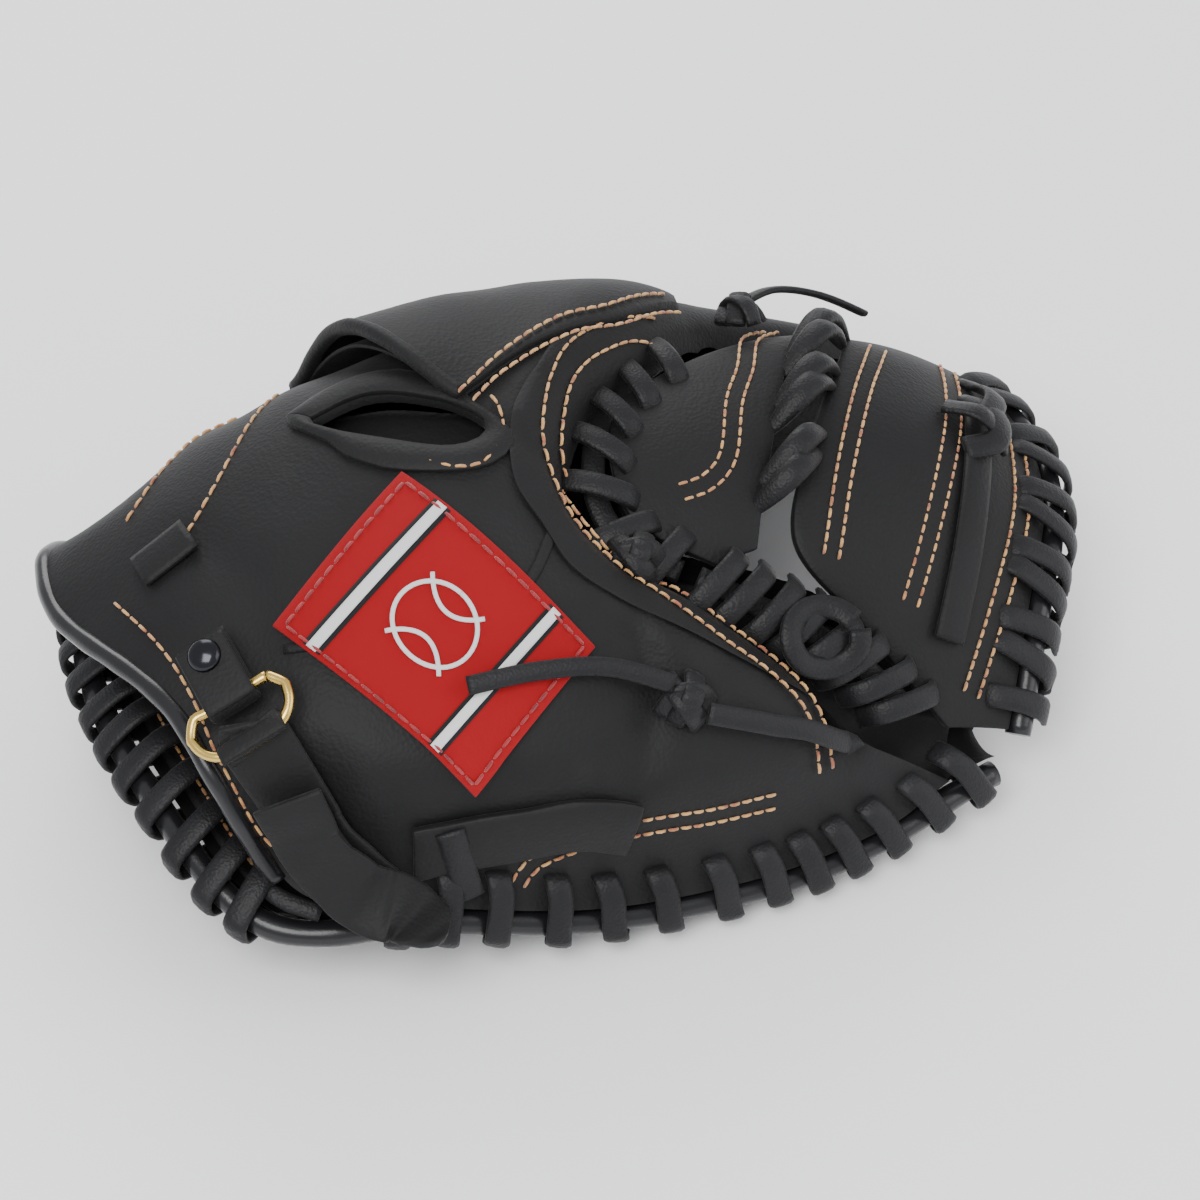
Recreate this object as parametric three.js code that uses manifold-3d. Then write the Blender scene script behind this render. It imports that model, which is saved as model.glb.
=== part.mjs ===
// A catcher's mitt for the left hand, lying palm down: back of the hand up, fingers towards +X, thumb towards -Y.
// Millimetres, +Z up. Every leather piece is cut in a flat pattern, (a, b), and laid on one domed middle surface:
// a runs from the wrist to the fingertips, and b runs across, as arc length from the ridge over the index finger,
// negative towards the thumb. A third number, n, is the height above the middle surface along its normal.
import * as THREE from "three";
import Module from "manifold-3d";
import { mergeVertices } from "three/addons/utils/BufferGeometryUtils.js";

const wasm = await Module();
wasm.setup();

// ---------- Driving dimensions ----------

// The dome, at stations every 50 mm from a = -150 to a = 150.
const FIRST_STATION = -150;
const STATION_STEP = 50;
const RIDGE_HEIGHT = [36, 66, 88, 96, 94, 78, 38];
const THUMB_SLOPE_DEG = [22, 36, 50, 54, 54, 52, 44];
const FINGER_SLOPE_DEG = [42, 66, 75, 76, 76, 68, 56];
const THUMB_BEND = 90;
const FINGER_BEND = 60;
const BEND_STEPS = 16;

// Half thickness on the back of the hand, at the same stations, and on the palm.
const BACK_HEIGHT = [27, 27, 25, 22, 18, 13, 9];
const PALM_DEPTH = 20;
const EDGE_HALF = 4;
const RIM_FLANGE = 38;
const CROTCH_ROUND = 16;
const PALM_ROUND = 22;

const LEATHER = 2.8;
const PAD = 11;
const LINING = 1.5;
const LAYER_GAP = 1;
const LACE_WIDTH = 6;
const LACE_THICK = 2;
const PIPING_RADIUS = 3.6;

// Paired pattern points round the horseshoe of the body, from the index fingertip round the wrist to the thumb tip.
const BACK_INNER = [
  [112, 44], [85, 38], [55, 27], [30, 10], [8, -4], [-3, -17], [-7, -24], [-8, -30],
  [-7, -35], [-4, -41], [3, -49], [16, -60], [29, -74], [41, -88], [46, -102],
];
const BACK_OUTER = [
  [128, 60], [105, 88], [60, 103], [15, 106], [-35, 102], [-85, 85], [-111, 50], [-127, 6],
  [-110, -40], [-103, -88], [-70, -111], [-26, -131], [20, -137], [55, -131], [78, -119],
];
const PALM_INNER = [
  [120, 36], [88, 32], [58, 24], [34, 10], [18, -4], [10, -16], [8, -24], [7, -30],
  [8, -36], [12, -43], [24, -50], [44, -59], [62, -70], [82, -82], [100, -98],
];
const PALM_OUTER = [
  [128, 60], [105, 88], [60, 103], [15, 106], [-35, 102], [-85, 85], [-118, 53], [-131, 4],
  [-127, -42], [-110, -90], [-70, -111], [-26, -131], [20, -137], [55, -131], [96, -112],
];
const WRIST_FAR = 6;
const WRIST_NEAR = 9;
const HINGE_AT = 10;
const LAST_PAIR = BACK_OUTER.length - 1;

// ---------- The middle surface ----------

const lerp = (p, q, t) => p + (q - p) * t;
const radians = (deg) => (deg * Math.PI) / 180;

// Catmull-Rom through evenly spaced values, with straight run-outs at both ends.
function through(values, t) {
  const last = values.length - 1;
  const i = Math.max(0, Math.min(last - 1, Math.floor(t)));
  const f = t - i;
  const at = (k) => {
    if (k < 0) return 2 * values[0] - values[1];
    if (k > last) return 2 * values[last] - values[last - 1];
    return values[k];
  };
  const [p, q, r, s] = [at(i - 1), at(i), at(i + 1), at(i + 2)];
  return q + 0.5 * f * (r - p + f * (2 * p - 5 * q + 4 * r - s + f * (3 * (q - r) + s - p)));
}

const station = (values, a) => through(values, (a - FIRST_STATION) / STATION_STEP);
const curve = (points, t) => [0, 1].map((k) => through(points.map((p) => p[k]), t));

function middle(a, b) {
  const slope = radians(station(b < 0 ? THUMB_SLOPE_DEG : FINGER_SLOPE_DEG, a));
  const bend = b < 0 ? THUMB_BEND : FINGER_BEND;
  let y = 0;
  let z = station(RIDGE_HEIGHT, a);
  for (let k = 0; k < BEND_STEPS; k++) {
    const s = ((k + 0.5) / BEND_STEPS) * Math.abs(b);
    const phi = slope * (1 - Math.exp(-Math.pow((2 * s) / bend, 1.5)));
    y += (Math.cos(phi) * b) / BEND_STEPS;
    z -= (Math.sin(phi) * Math.abs(b)) / BEND_STEPS;
  }
  return new THREE.Vector3(a, y, z);
}

function normal(a, b) {
  const h = 0.5;
  const along = middle(a + h, b).sub(middle(a - h, b));
  const across = middle(a, b + h).sub(middle(a, b - h));
  return along.cross(across).normalize();
}

const lift = (a, b, n) => middle(a, b).addScaledVector(normal(a, b), n);

// ---------- How thick the mitt is ----------

function polyline(points, from, to, steps) {
  return Array.from({ length: steps + 1 }, (_, k) => curve(points, lerp(from, to, k / steps)));
}

function distanceTo(line, a, b) {
  let best = Infinity;
  for (let k = 0; k + 1 < line.length; k++) {
    const [p, q] = [line[k], line[k + 1]];
    const [dx, dy] = [q[0] - p[0], q[1] - p[1]];
    const t = Math.max(0, Math.min(1, ((a - p[0]) * dx + (b - p[1]) * dy) / (dx * dx + dy * dy)));
    best = Math.min(best, Math.hypot(a - p[0] - t * dx, b - p[1] - t * dy));
  }
  return best;
}

// Profiles that rise from 0 at an edge to 1 at a width from it: a quarter round, and a flange that starts flat.
const quarterRound = (d, width) => Math.sqrt(1 - Math.pow(1 - Math.min(1, d / width), 2));
const flange = (d, width) => THREE.MathUtils.smoothstep(d, 0, width);

// The back is open at the wrist, so its rim stops at each corner of the opening. So does the palm's laced rim.
const BACK_RIM = [
  polyline(BACK_OUTER, 0, WRIST_FAR, 20),
  polyline(BACK_OUTER, WRIST_NEAR, LAST_PAIR, 20),
];
const BACK_CROTCH = polyline(BACK_INNER, 0, LAST_PAIR, 44);
const PALM_RIM = polyline(PALM_OUTER, 0, LAST_PAIR, 56);
const PALM_CROTCH = polyline(PALM_INNER, 0, LAST_PAIR, 44);

function backHeight(a, b) {
  const rim = Math.min(...BACK_RIM.map((line) => distanceTo(line, a, b)));
  const rise = flange(rim, RIM_FLANGE) * quarterRound(distanceTo(BACK_CROTCH, a, b), CROTCH_ROUND);
  return EDGE_HALF + (station(BACK_HEIGHT, a) - EDGE_HALF) * rise;
}

function palmDepth(a, b) {
  const edge = Math.min(distanceTo(PALM_RIM, a, b), distanceTo(PALM_CROTCH, a, b));
  return EDGE_HALF + (PALM_DEPTH - EDGE_HALF) * quarterRound(edge, PALM_ROUND);
}

// ---------- Solids ----------

const root = new THREE.Group();
const hand = new THREE.Group();
const thumb = new THREE.Group();
root.add(hand, thumb);

const FINISHES = {
  leather: { color: 0x232325, roughness: 0.62, metalness: 0 },
  lining: { color: 0x2b2725, roughness: 0.85, metalness: 0 },
  felt: { color: 0x9a9488, roughness: 1, metalness: 0 },
  piping: { color: 0x1a191b, roughness: 0.35, metalness: 0 },
  lace: { color: 0x2a2a2c, roughness: 0.55, metalness: 0 },
  patch: { color: 0xc8202e, roughness: 0.8, metalness: 0 },
  brass: { color: 0xc9a13b, roughness: 0.25, metalness: 1 },
  steel: { color: 0x16161a, roughness: 0.3, metalness: 0.8 },
  hook: { color: 0x111113, roughness: 1, metalness: 0 },
};

function add(group, name, finish, geometry) {
  const mesh = new THREE.Mesh(geometry, new THREE.MeshStandardMaterial(FINISHES[finish]));
  mesh.name = name;
  group.add(mesh);
  return mesh;
}

// Faces that enclose a negative volume are turned round, so that they point out.
function geometryOf(vertices, faces) {
  const volume = faces.reduce((sum, [p, q, r]) =>
    sum + vertices[p].dot(vertices[q].clone().cross(vertices[r])), 0);
  if (volume < 0) faces = faces.map(([p, q, r]) => [p, r, q]);
  const geometry = new THREE.BufferGeometry();
  geometry.setAttribute("position", new THREE.Float32BufferAttribute(vertices.flatMap((v) => v.toArray()), 3));
  geometry.setIndex(faces.flat());
  return geometry;
}

// A closed slab between two grids of points, outer(i, j) and inner(i, j), seen from outside as right-handed.
function slab(rows, columns, outer, inner) {
  const vertices = [];
  for (const face of [outer, inner])
    for (let i = 0; i <= rows; i++) for (let j = 0; j <= columns; j++) vertices.push(face(i, j));
  const size = (rows + 1) * (columns + 1);
  const id = (side, i, j) => side * size + i * (columns + 1) + j;
  const faces = [];
  const quad = (p, q, r, s) => faces.push([p, q, r], [p, r, s]);
  for (let i = 0; i < rows; i++)
    for (let j = 0; j < columns; j++) {
      quad(id(0, i, j), id(0, i + 1, j), id(0, i + 1, j + 1), id(0, i, j + 1));
      quad(id(1, i, j), id(1, i, j + 1), id(1, i + 1, j + 1), id(1, i + 1, j));
    }
  for (let i = 0; i < rows; i++) {
    quad(id(0, i + 1, 0), id(0, i, 0), id(1, i, 0), id(1, i + 1, 0));
    quad(id(0, i, columns), id(0, i + 1, columns), id(1, i + 1, columns), id(1, i, columns));
  }
  for (let j = 0; j < columns; j++) {
    quad(id(0, 0, j), id(0, 0, j + 1), id(1, 0, j + 1), id(1, 0, j));
    quad(id(0, rows, j + 1), id(0, rows, j), id(1, rows, j), id(1, rows, j + 1));
  }
  return geometryOf(vertices, faces);
}

// A panel of the horseshoe: pairs from..to, and share from the inner to the outer edge, between heights low and high.
// Its columns stand closer together near both edges, where the section turns fastest.
const crowded = (x) => lerp(x, (1 - Math.cos(Math.PI * x)) / 2, 0.8);
function panel(inner, outer, from, to, near, far, rows, columns, low, high) {
  const at = (i, j, height) => {
    const t = lerp(from, to, i / rows);
    const [p, q] = [curve(inner, t), curve(outer, t)];
    const share = lerp(near, far, crowded(j / columns));
    const [a, b] = [lerp(p[0], q[0], share), lerp(p[1], q[1], share)];
    return lift(a, b, height(a, b));
  };
  return slab(rows, columns, (i, j) => at(i, j, high), (i, j) => at(i, j, low));
}

// A patch of the flat pattern between two edge curves, each given by its points.
function patch(edge0, edge1, rows, columns, low, high) {
  const at = (i, j, height) => {
    const p = curve(edge0, (i / rows) * (edge0.length - 1));
    const q = curve(edge1, (i / rows) * (edge1.length - 1));
    const [a, b] = [lerp(p[0], q[0], j / columns), lerp(p[1], q[1], j / columns)];
    return lift(a, b, height(a, b));
  };
  return slab(rows, columns, (i, j) => at(i, j, high), (i, j) => at(i, j, low));
}

// A strip of rectangular section swept along points, with its flat side facing each point's own normal.
function strip(points, normals, width, thick) {
  const rings = points.map((p, k) => {
    const before = points[Math.max(0, k - 1)];
    const after = points[Math.min(points.length - 1, k + 1)];
    const tangent = after.clone().sub(before).normalize();
    const side = tangent.clone().cross(normals[k]).normalize();
    const up = side.clone().cross(tangent).normalize();
    return [[1, 1], [-1, 1], [-1, -1], [1, -1]].map(([s, u]) =>
      p.clone().addScaledVector(side, (s * width) / 2).addScaledVector(up, (u * thick) / 2));
  });
  const faces = [[0, 1, 2], [0, 2, 3]];
  for (let k = 0; k + 1 < rings.length; k++)
    for (let c = 0; c < 4; c++) {
      const [p, q] = [k * 4 + c, k * 4 + ((c + 1) % 4)];
      faces.push([p, q + 4, q], [p, p + 4, q + 4]);
    }
  const last = (rings.length - 1) * 4;
  faces.push([last, last + 2, last + 1], [last, last + 3, last + 2]);
  return geometryOf(rings.flat(), faces);
}

// A round cord through points, as a swept polygon.
function cordAlong(points, radius, steps, sides) {
  const path = new THREE.CatmullRomCurve3(points);
  const section = new THREE.Shape(
    Array.from({ length: sides }, (_, k) => {
      const angle = (k / sides) * 2 * Math.PI;
      return new THREE.Vector2(radius * Math.cos(angle), radius * Math.sin(angle));
    }),
  );
  return new THREE.ExtrudeGeometry(section, { steps, extrudePath: path });
}

// ---------- Solids that are cut ----------

function toSolid(geometry) {
  const bare = geometry.clone();
  bare.deleteAttribute("normal");
  bare.deleteAttribute("uv");
  const merged = mergeVertices(bare, 1e-4);
  const vertProperties = merged.attributes.position.array;
  const triVerts = new Uint32Array(merged.index.array);
  return new wasm.Manifold(new wasm.Mesh({ numProp: 3, vertProperties, triVerts }));
}

function toGeometry(solid) {
  const mesh = solid.getMesh();
  const geometry = new THREE.BufferGeometry();
  geometry.setAttribute("position", new THREE.BufferAttribute(new Float32Array(mesh.vertProperties), 3));
  geometry.setIndex(new THREE.BufferAttribute(new Uint32Array(mesh.triVerts), 1));
  return geometry;
}

const cut = (from, tool) => toGeometry(toSolid(from).subtract(toSolid(tool)));

// The outward normal of a surface that stands at a given height over the middle.
function slopeNormal(a, b, height) {
  const at = (da, db) => lift(a + da, b + db, height(a + da, b + db));
  return at(1, 0).sub(at(-1, 0)).cross(at(0, 1).sub(at(0, -1))).normalize();
}

// ---------- Shells, linings and pads ----------

const above = (height, extra) => (a, b) => height(a, b) + extra;
const palmFace = (extra) => (a, b) => -palmDepth(a, b) + extra;
const backOuter = above(backHeight, 0);
const backInner = above(backHeight, -LEATHER);
const PAD_BASE = LEATHER + LAYER_GAP;
const PAD_TOP = PAD_BASE + PAD;
const LINING_BASE = PAD_TOP + LAYER_GAP;
const HINGE_GAP = 0.04;
const HAND_PAIRS = [0, HINGE_AT - HINGE_GAP];
const THUMB_PAIRS = [HINGE_AT + HINGE_GAP, LAST_PAIR];

// The opening that the index finger comes out through, as two edges of a slot in the flat pattern.
const HOLE_UPPER = [[-56, 9], [-44, 7], [-31, 0], [-22, -9]];
const HOLE_LOWER = [[-56, 6], [-46, -5], [-34, -13], [-23, -14]];
const WELT_UPPER = [[-62, 14], [-46, 12], [-29, 5], [-16, -7]];
const WELT_LOWER = [[-62, 6], [-49, -9], [-35, -18], [-19, -18]];
const THROUGH = 8;
const holeCutter = patch(HOLE_UPPER, HOLE_LOWER, 10, 4, above(backHeight, -THROUGH), above(backHeight, THROUGH));

const handBack = panel(BACK_INNER, BACK_OUTER, ...HAND_PAIRS, 0, 1, 30, 8, backInner, backOuter);
add(hand, "back_shell", "leather", cut(handBack, holeCutter));
add(thumb, "thumb_back_shell", "leather",
  panel(BACK_INNER, BACK_OUTER, ...THUMB_PAIRS, 0, 1, 13, 7, backInner, backOuter));
add(hand, "palm_shell", "leather",
  panel(PALM_INNER, PALM_OUTER, ...HAND_PAIRS, 0, 1, 30, 9, palmFace(0), palmFace(LEATHER)));
add(thumb, "thumb_palm_shell", "leather",
  panel(PALM_INNER, PALM_OUTER, ...THUMB_PAIRS, 0, 1, 13, 9, palmFace(0), palmFace(LEATHER)));

const PADS = [
  ["finger_pad", hand, [0.4, 5], [0.22, 0.86], 14],
  ["palm_pad", hand, [5.2, 9.85], [0.16, 0.66], 12],
  ["heel_pad", hand, [5.5, 9.6], [0.7, 0.88], 12],
  ["thumb_pad", thumb, [10.15, 13.3], [0.24, 0.84], 10],
];
for (const [name, group, pairs, shares, rows] of PADS)
  add(group, name, "felt",
    panel(PALM_INNER, PALM_OUTER, ...pairs, ...shares, rows, 4, palmFace(PAD_BASE), palmFace(PAD_TOP)));
const LININGS = [
  ["hand_lining", hand, [1.2, 9.8], 20],
  ["thumb_lining", thumb, [10.2, 12.8], 8],
];
for (const [name, group, pairs, rows] of LININGS)
  add(group, name, "lining", panel(PALM_INNER, PALM_OUTER, ...pairs, 0.3, 0.78, rows, 4,
    palmFace(LINING_BASE), palmFace(LINING_BASE + LINING)));

// The binding along the crotch edge of the back, one piece each side of the hinge.
const BINDING_WIDTH = 0.06;
const BINDINGS = [
  ["crotch_binding", hand, [0.4, 9.9], 30],
  ["thumb_binding", thumb, [10.1, 13.8], 12],
];
for (const [name, group, pairs, rows] of BINDINGS)
  add(group, name, "leather", panel(BACK_INNER, BACK_OUTER, ...pairs, 0.005, BINDING_WIDTH, rows, 1,
    above(backHeight, LAYER_GAP), above(backHeight, LAYER_GAP + 1.6)));

// Walls between the finger stalls, from the lining up to the back.
const WALL = 1.6;
const WALL_GAP = 1.6;
const WALLS = [
  ["stall_wall_1", [[-15, 30], [25, 34], [62, 44]]],
  ["stall_wall_2", [[-25, 62], [20, 64], [58, 72]]],
];
for (const [name, line] of WALLS)
  add(hand, name, "lining", patch(line, line.map(([a, b]) => [a, b + WALL]), 8, 1,
    palmFace(LINING_BASE + LINING + WALL_GAP), above(backHeight, -LEATHER - WALL_GAP)));

// ---------- Index finger opening and hood ----------

add(hand, "index_hole_welt", "leather", cut(
  patch(WELT_UPPER, WELT_LOWER, 10, 4, above(backHeight, LAYER_GAP), above(backHeight, LAYER_GAP + 1.8)),
  holeCutter));

const HOOD_NEAR = [[-20, 2], [-8, 7], [8, 12], [26, 19], [44, 28]];
const HOOD_FAR = [[-50, 40], [-28, 48], [0, 52], [24, 50], [46, 42]];
const HOOD_RISE = 8;
const HOOD_ROWS = 10;
const HOOD_COLUMNS = 8;
function hoodPoint(i, j, extra) {
  const along = i / HOOD_ROWS;
  const p = curve(HOOD_NEAR, along * (HOOD_NEAR.length - 1));
  const q = curve(HOOD_FAR, along * (HOOD_FAR.length - 1));
  const [a, b] = [lerp(p[0], q[0], j / HOOD_COLUMNS), lerp(p[1], q[1], j / HOOD_COLUMNS)];
  const arch = Math.pow(Math.sin((Math.PI * j) / HOOD_COLUMNS), 0.7) * Math.pow(1 - along, 0.45);
  return lift(a, b, backHeight(a, b) + extra + HOOD_RISE * arch);
}
add(hand, "index_hood", "leather", slab(HOOD_ROWS, HOOD_COLUMNS,
  (i, j) => hoodPoint(i, j, LAYER_GAP + 2.4), (i, j) => hoodPoint(i, j, LAYER_GAP + 0.6)));

// ---------- Piping and laces at the rim ----------

// A point of the flat pattern beside pair t of an outline: out is the distance past the outline.
function beside(outline, t, out) {
  const [p, q] = [curve(outline, t - 0.05), curve(outline, t + 0.05)];
  const here = curve(outline, t);
  const length = Math.hypot(q[0] - p[0], q[1] - p[1]);
  return [here[0] + (out * (q[1] - p[1])) / length, here[1] - (out * (q[0] - p[0])) / length];
}

const PIPING_OUT = PIPING_RADIUS + 0.8;
const PIPINGS = [
  ["finger_piping", hand, [0.3, 5.9], 34],
  ["heel_piping", hand, [6.1, 9.75], 22],
  ["thumb_piping", thumb, [10.15, 13.8], 24],
];
for (const [name, group, pairs, steps] of PIPINGS) {
  const points = Array.from({ length: steps + 1 }, (_, k) =>
    lift(...beside(PALM_OUTER, lerp(...pairs, k / steps), PIPING_OUT), 0));
  add(group, name, "piping", cordAlong(points, PIPING_RADIUS, steps, 6));
}

// The rolled edge of the wrist opening, on the back.
const ROLL_RADIUS = 2.6;
const roll = Array.from({ length: 25 }, (_, k) => {
  const [a, b] = beside(BACK_OUTER, lerp(5.9, 8.7, k / 24), ROLL_RADIUS + 0.8);
  return lift(a, b, backHeight(a, b) - LEATHER / 2);
});
add(hand, "wrist_binding", "piping", cordAlong(roll, ROLL_RADIUS, 30, 6));

// A lace that crosses the rim once for each stitch, over the piping, and runs on to the next along alternate faces.
const LACE_INSET = 8;
const LACE_CLEAR = 4.3;
const LACE_REACH = PIPING_RADIUS + 1.9;
const LACE_TILTS = [80, 27, -27, -80];
function rimLace(name, group, from, to, stitches, topHeight) {
  const points = [];
  const normals = [];
  const place = (t, out, n, tilt) => {
    const [a, b] = beside(PALM_OUTER, t, out);
    const ahead = lift(...beside(PALM_OUTER, t, out + 1), 0).sub(lift(a, b, 0)).normalize();
    const up = normal(a, b).multiplyScalar(Math.sin(tilt));
    points.push(lift(a, b, n));
    normals.push(up.addScaledVector(ahead, Math.cos(tilt)).normalize());
  };
  const onTop = (t) => {
    const height = topHeight(...beside(PALM_OUTER, t, -LACE_INSET));
    place(t, -LACE_INSET, height + LACE_CLEAR, Math.PI / 2);
  };
  const below = (t) => {
    const depth = palmDepth(...beside(PALM_OUTER, t, -LACE_INSET));
    place(t, -LACE_INSET, -depth - LACE_CLEAR, -Math.PI / 2);
  };
  const across = (t, deg) =>
    place(t, PIPING_OUT + LACE_REACH * Math.cos(radians(deg)), LACE_REACH * Math.sin(radians(deg)), radians(deg));
  const step = (to - from) / (stitches - 1);
  for (let k = 0; k < stitches; k++) {
    const t = from + k * step;
    const [first, second, turn] = k % 2 === 0 ? [onTop, below, 1] : [below, onTop, -1];
    first(t);
    for (const deg of LACE_TILTS) across(t, deg * turn);
    second(t);
    if (k + 1 < stitches) second(t + step / 2);
  }
  add(group, name, "lace", strip(points, normals, LACE_WIDTH, LACE_THICK));
}
rimLace("finger_lace", hand, 0.5, 5.5, 17, backHeight);
rimLace("heel_lace", hand, 6.4, 8.6, 10, () => 0);
rimLace("thumb_lace", thumb, 10.37, 13.55, 9, backHeight);

// ---------- Web ----------

const WEB_BASE = 2.2;
const WEB_THICK = 3;
const WEB_TOP = WEB_BASE + WEB_THICK;
const flat = (n) => () => n;
const INNER_WEB_LEFT = [[18, 0], [9, -15], [7, -33], [13, -43], [26, -53]];
const INNER_WEB_RIGHT = [[80, 24], [65, 0], [50, -25], [40, -40], [34, -50]];
const OUTER_WEB_LEFT = [[95, 22], [80, -2], [64, -26], [54, -53], [68, -77], [84, -104]];
const OUTER_WEB_RIM = [[131, 24], [136, -8], [129, -34], [117, -58], [109, -76], [98, -104]];
add(hand, "web_inner_panel", "leather",
  patch(INNER_WEB_LEFT, INNER_WEB_RIGHT, 12, 5, flat(WEB_BASE), flat(WEB_TOP)));
add(hand, "web_outer_panel", "leather",
  patch(OUTER_WEB_LEFT, OUTER_WEB_RIM, 18, 5, flat(WEB_BASE), flat(WEB_TOP)));

// A flat band laid over a surface through points of the flat pattern, at a clearance above it.
function laid(group, name, finish, line, steps, height, clear, width, thick) {
  const run = Array.from({ length: steps + 1 }, (_, k) => {
    const [a, b] = curve(line, (k / steps) * (line.length - 1));
    const up = slopeNormal(a, b, height);
    return [lift(a, b, height(a, b)).addScaledVector(up, clear + thick / 2), up];
  });
  add(group, name, finish, strip(run.map(([p]) => p), run.map(([, n]) => n), width, thick));
}

const GAP_LACES = [[79, 11], [67, -9], [54, -31]];
const GAP_ACROSS = [12, -8];
GAP_LACES.forEach(([a, b], k) => {
  const line = [[a - GAP_ACROSS[0], b - GAP_ACROSS[1]], [a + GAP_ACROSS[0], b + GAP_ACROSS[1]]];
  laid(hand, "web_gap_lace_" + (k + 1), "lace", line, 4, flat(WEB_TOP), LAYER_GAP, 8, LACE_THICK);
});
laid(hand, "web_strap", "leather", [[117, -8], [106, -33], [95, -57], [84, -80]], 10,
  flat(WEB_TOP), LAYER_GAP, 10, LEATHER);
const rimCord = Array.from({ length: 21 }, (_, k) => {
  const [a, b] = curve(OUTER_WEB_RIM, (k / 20) * (OUTER_WEB_RIM.length - 1));
  return lift(a + PIPING_OUT, b - 1, WEB_BASE + WEB_THICK / 2);
});
add(hand, "web_rim_piping", "piping", cordAlong(rimCord, PIPING_RADIUS, 20, 6));

// The lace that ties the web to the body round the crotch, and on along the thumb.
const CROTCH_LACE = [[24, 2], [8, -8], [-2, -22], [-3, -34], [2, -44], [11, -52]];
laid(hand, "crotch_lace", "lace", CROTCH_LACE, 16, flat(WEB_TOP), 2.8, LACE_WIDTH, LACE_THICK);
const THUMB_CROTCH_LACE = [[22, -60], [36, -72], [49, -84], [57, -99], [62, -112]];
laid(thumb, "thumb_crotch_lace", "lace", THUMB_CROTCH_LACE, 14, flat(WEB_TOP), 5.8, LACE_WIDTH, LACE_THICK);

// The free end of the lace that is knotted at the far side of the crotch, arched over the web.
const WEB_TAIL = [[62, 22, 15], [72, 24, 18], [84, 25, 17], [98, 25, 13]];
const webTail = WEB_TAIL.map(([a, b, n]) => lift(a, b, n));
add(hand, "web_tail", "lace", strip(webTail, WEB_TAIL.map(([a, b]) => normal(a, b)), LACE_WIDTH, LACE_THICK));

// ---------- Patch, ties and thumb band ----------

const LABEL_NEAR = [[-83, -35], [-68, -61], [-54, -87]];
const LABEL_FAR = [[-44, -16], [-29, -40], [-15, -64]];
add(hand, "label_patch", "patch",
  patch(LABEL_NEAR, LABEL_FAR, 8, 6, above(backHeight, LAYER_GAP), above(backHeight, LAYER_GAP + 1.6)));
laid(hand, "label_tail", "lace", [[1, -77], [-14, -69], [-31, -65], [-48, -63]], 12,
  backHeight, LAYER_GAP + 3.4, LACE_WIDTH, LACE_THICK);
laid(thumb, "thumb_tie", "lace", [[8, -86], [30, -96], [47, -107]], 12,
  backHeight, LAYER_GAP + 4, LACE_WIDTH, LACE_THICK);
laid(thumb, "thumb_band", "leather", [[-52, -102], [-36, -105], [-22, -108], [-12, -114]], 8,
  backHeight, LAYER_GAP + 1, 13, LEATHER);

// ---------- D-ring, its tab and the pull strap ----------

const WIRE = 1.4;
const RING_AT = [-97, -47];
const RING_HALF = 14;
const RING_SHOULDER = 4;
const RING_DEPTH = 14;
const RING_SQUARENESS = 0.4;
const STRAP_WIDTH = 19;
const ringHeight = backHeight(...RING_AT) + 8;

// The ring's own frame: x along its straight bar, y towards the thumb, z out of the back.
const ringOrigin = lift(...RING_AT, ringHeight);
const ringUp = normal(...RING_AT);
const ringAcross = middle(RING_AT[0] + 4, RING_AT[1] - 20).sub(middle(...RING_AT));
ringAcross.addScaledVector(ringUp, -ringAcross.dot(ringUp)).normalize();
const ringBar = ringAcross.clone().cross(ringUp).normalize();
const inRing = (x, y, z) =>
  ringOrigin.clone().addScaledVector(ringBar, x).addScaledVector(ringAcross, y).addScaledVector(ringUp, z);

const squared = (x) => Math.sign(x) * Math.pow(Math.abs(x), RING_SQUARENESS);
const ringLine = [-1, -0.5, 0, 0.5, 1].map((x) => inRing(x * (RING_HALF - 3), 0, 0));
for (let k = 0; k <= 16; k++) {
  const angle = (Math.PI * k) / 16;
  const rise = (RING_DEPTH - RING_SHOULDER) * squared(Math.sin(angle));
  ringLine.push(inRing(RING_HALF * squared(Math.cos(angle)), RING_SHOULDER + rise, 0));
}
const ringPath = new THREE.CatmullRomCurve3(ringLine, true);
const wireSection = new THREE.Shape(Array.from({ length: 8 }, (_, k) =>
  new THREE.Vector2(WIRE * Math.cos((k * Math.PI) / 4), WIRE * Math.sin((k * Math.PI) / 4))));
add(hand, "d_ring", "brass", new THREE.ExtrudeGeometry(wireSection, { steps: 48, extrudePath: ringPath }));

// Points of a band that folds round a wire in the ring's plane: [point, outward normal] at each angle.
const BAND = 2.2;
const WRAP = WIRE + 0.5 + BAND / 2;
const facing = (deg) =>
  ringAcross.clone().multiplyScalar(Math.cos(radians(deg))).addScaledVector(ringUp, Math.sin(radians(deg)));
const fold = (y, ...angles) =>
  angles.map((deg) => [inRing(0, y, 0).addScaledVector(facing(deg), WRAP), facing(deg)]);
const band = (group, name, run, width) =>
  add(group, name, "leather", strip(run.map(([p]) => p), run.map(([, n]) => n), width, BAND));

// The tab comes along the back, folds round the ring's straight bar and returns over itself.
const TAB_WIDTH = 14;
const TAB_LOW = -19;
const TAB_HIGH = -15;
band(hand, "ring_tab", [
  [inRing(0, TAB_LOW, -WRAP), facing(-90)],
  ...fold(0, -90, -45, 0, 45, 90),
  [inRing(0, TAB_HIGH, WRAP), facing(90)],
], TAB_WIDTH);

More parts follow.
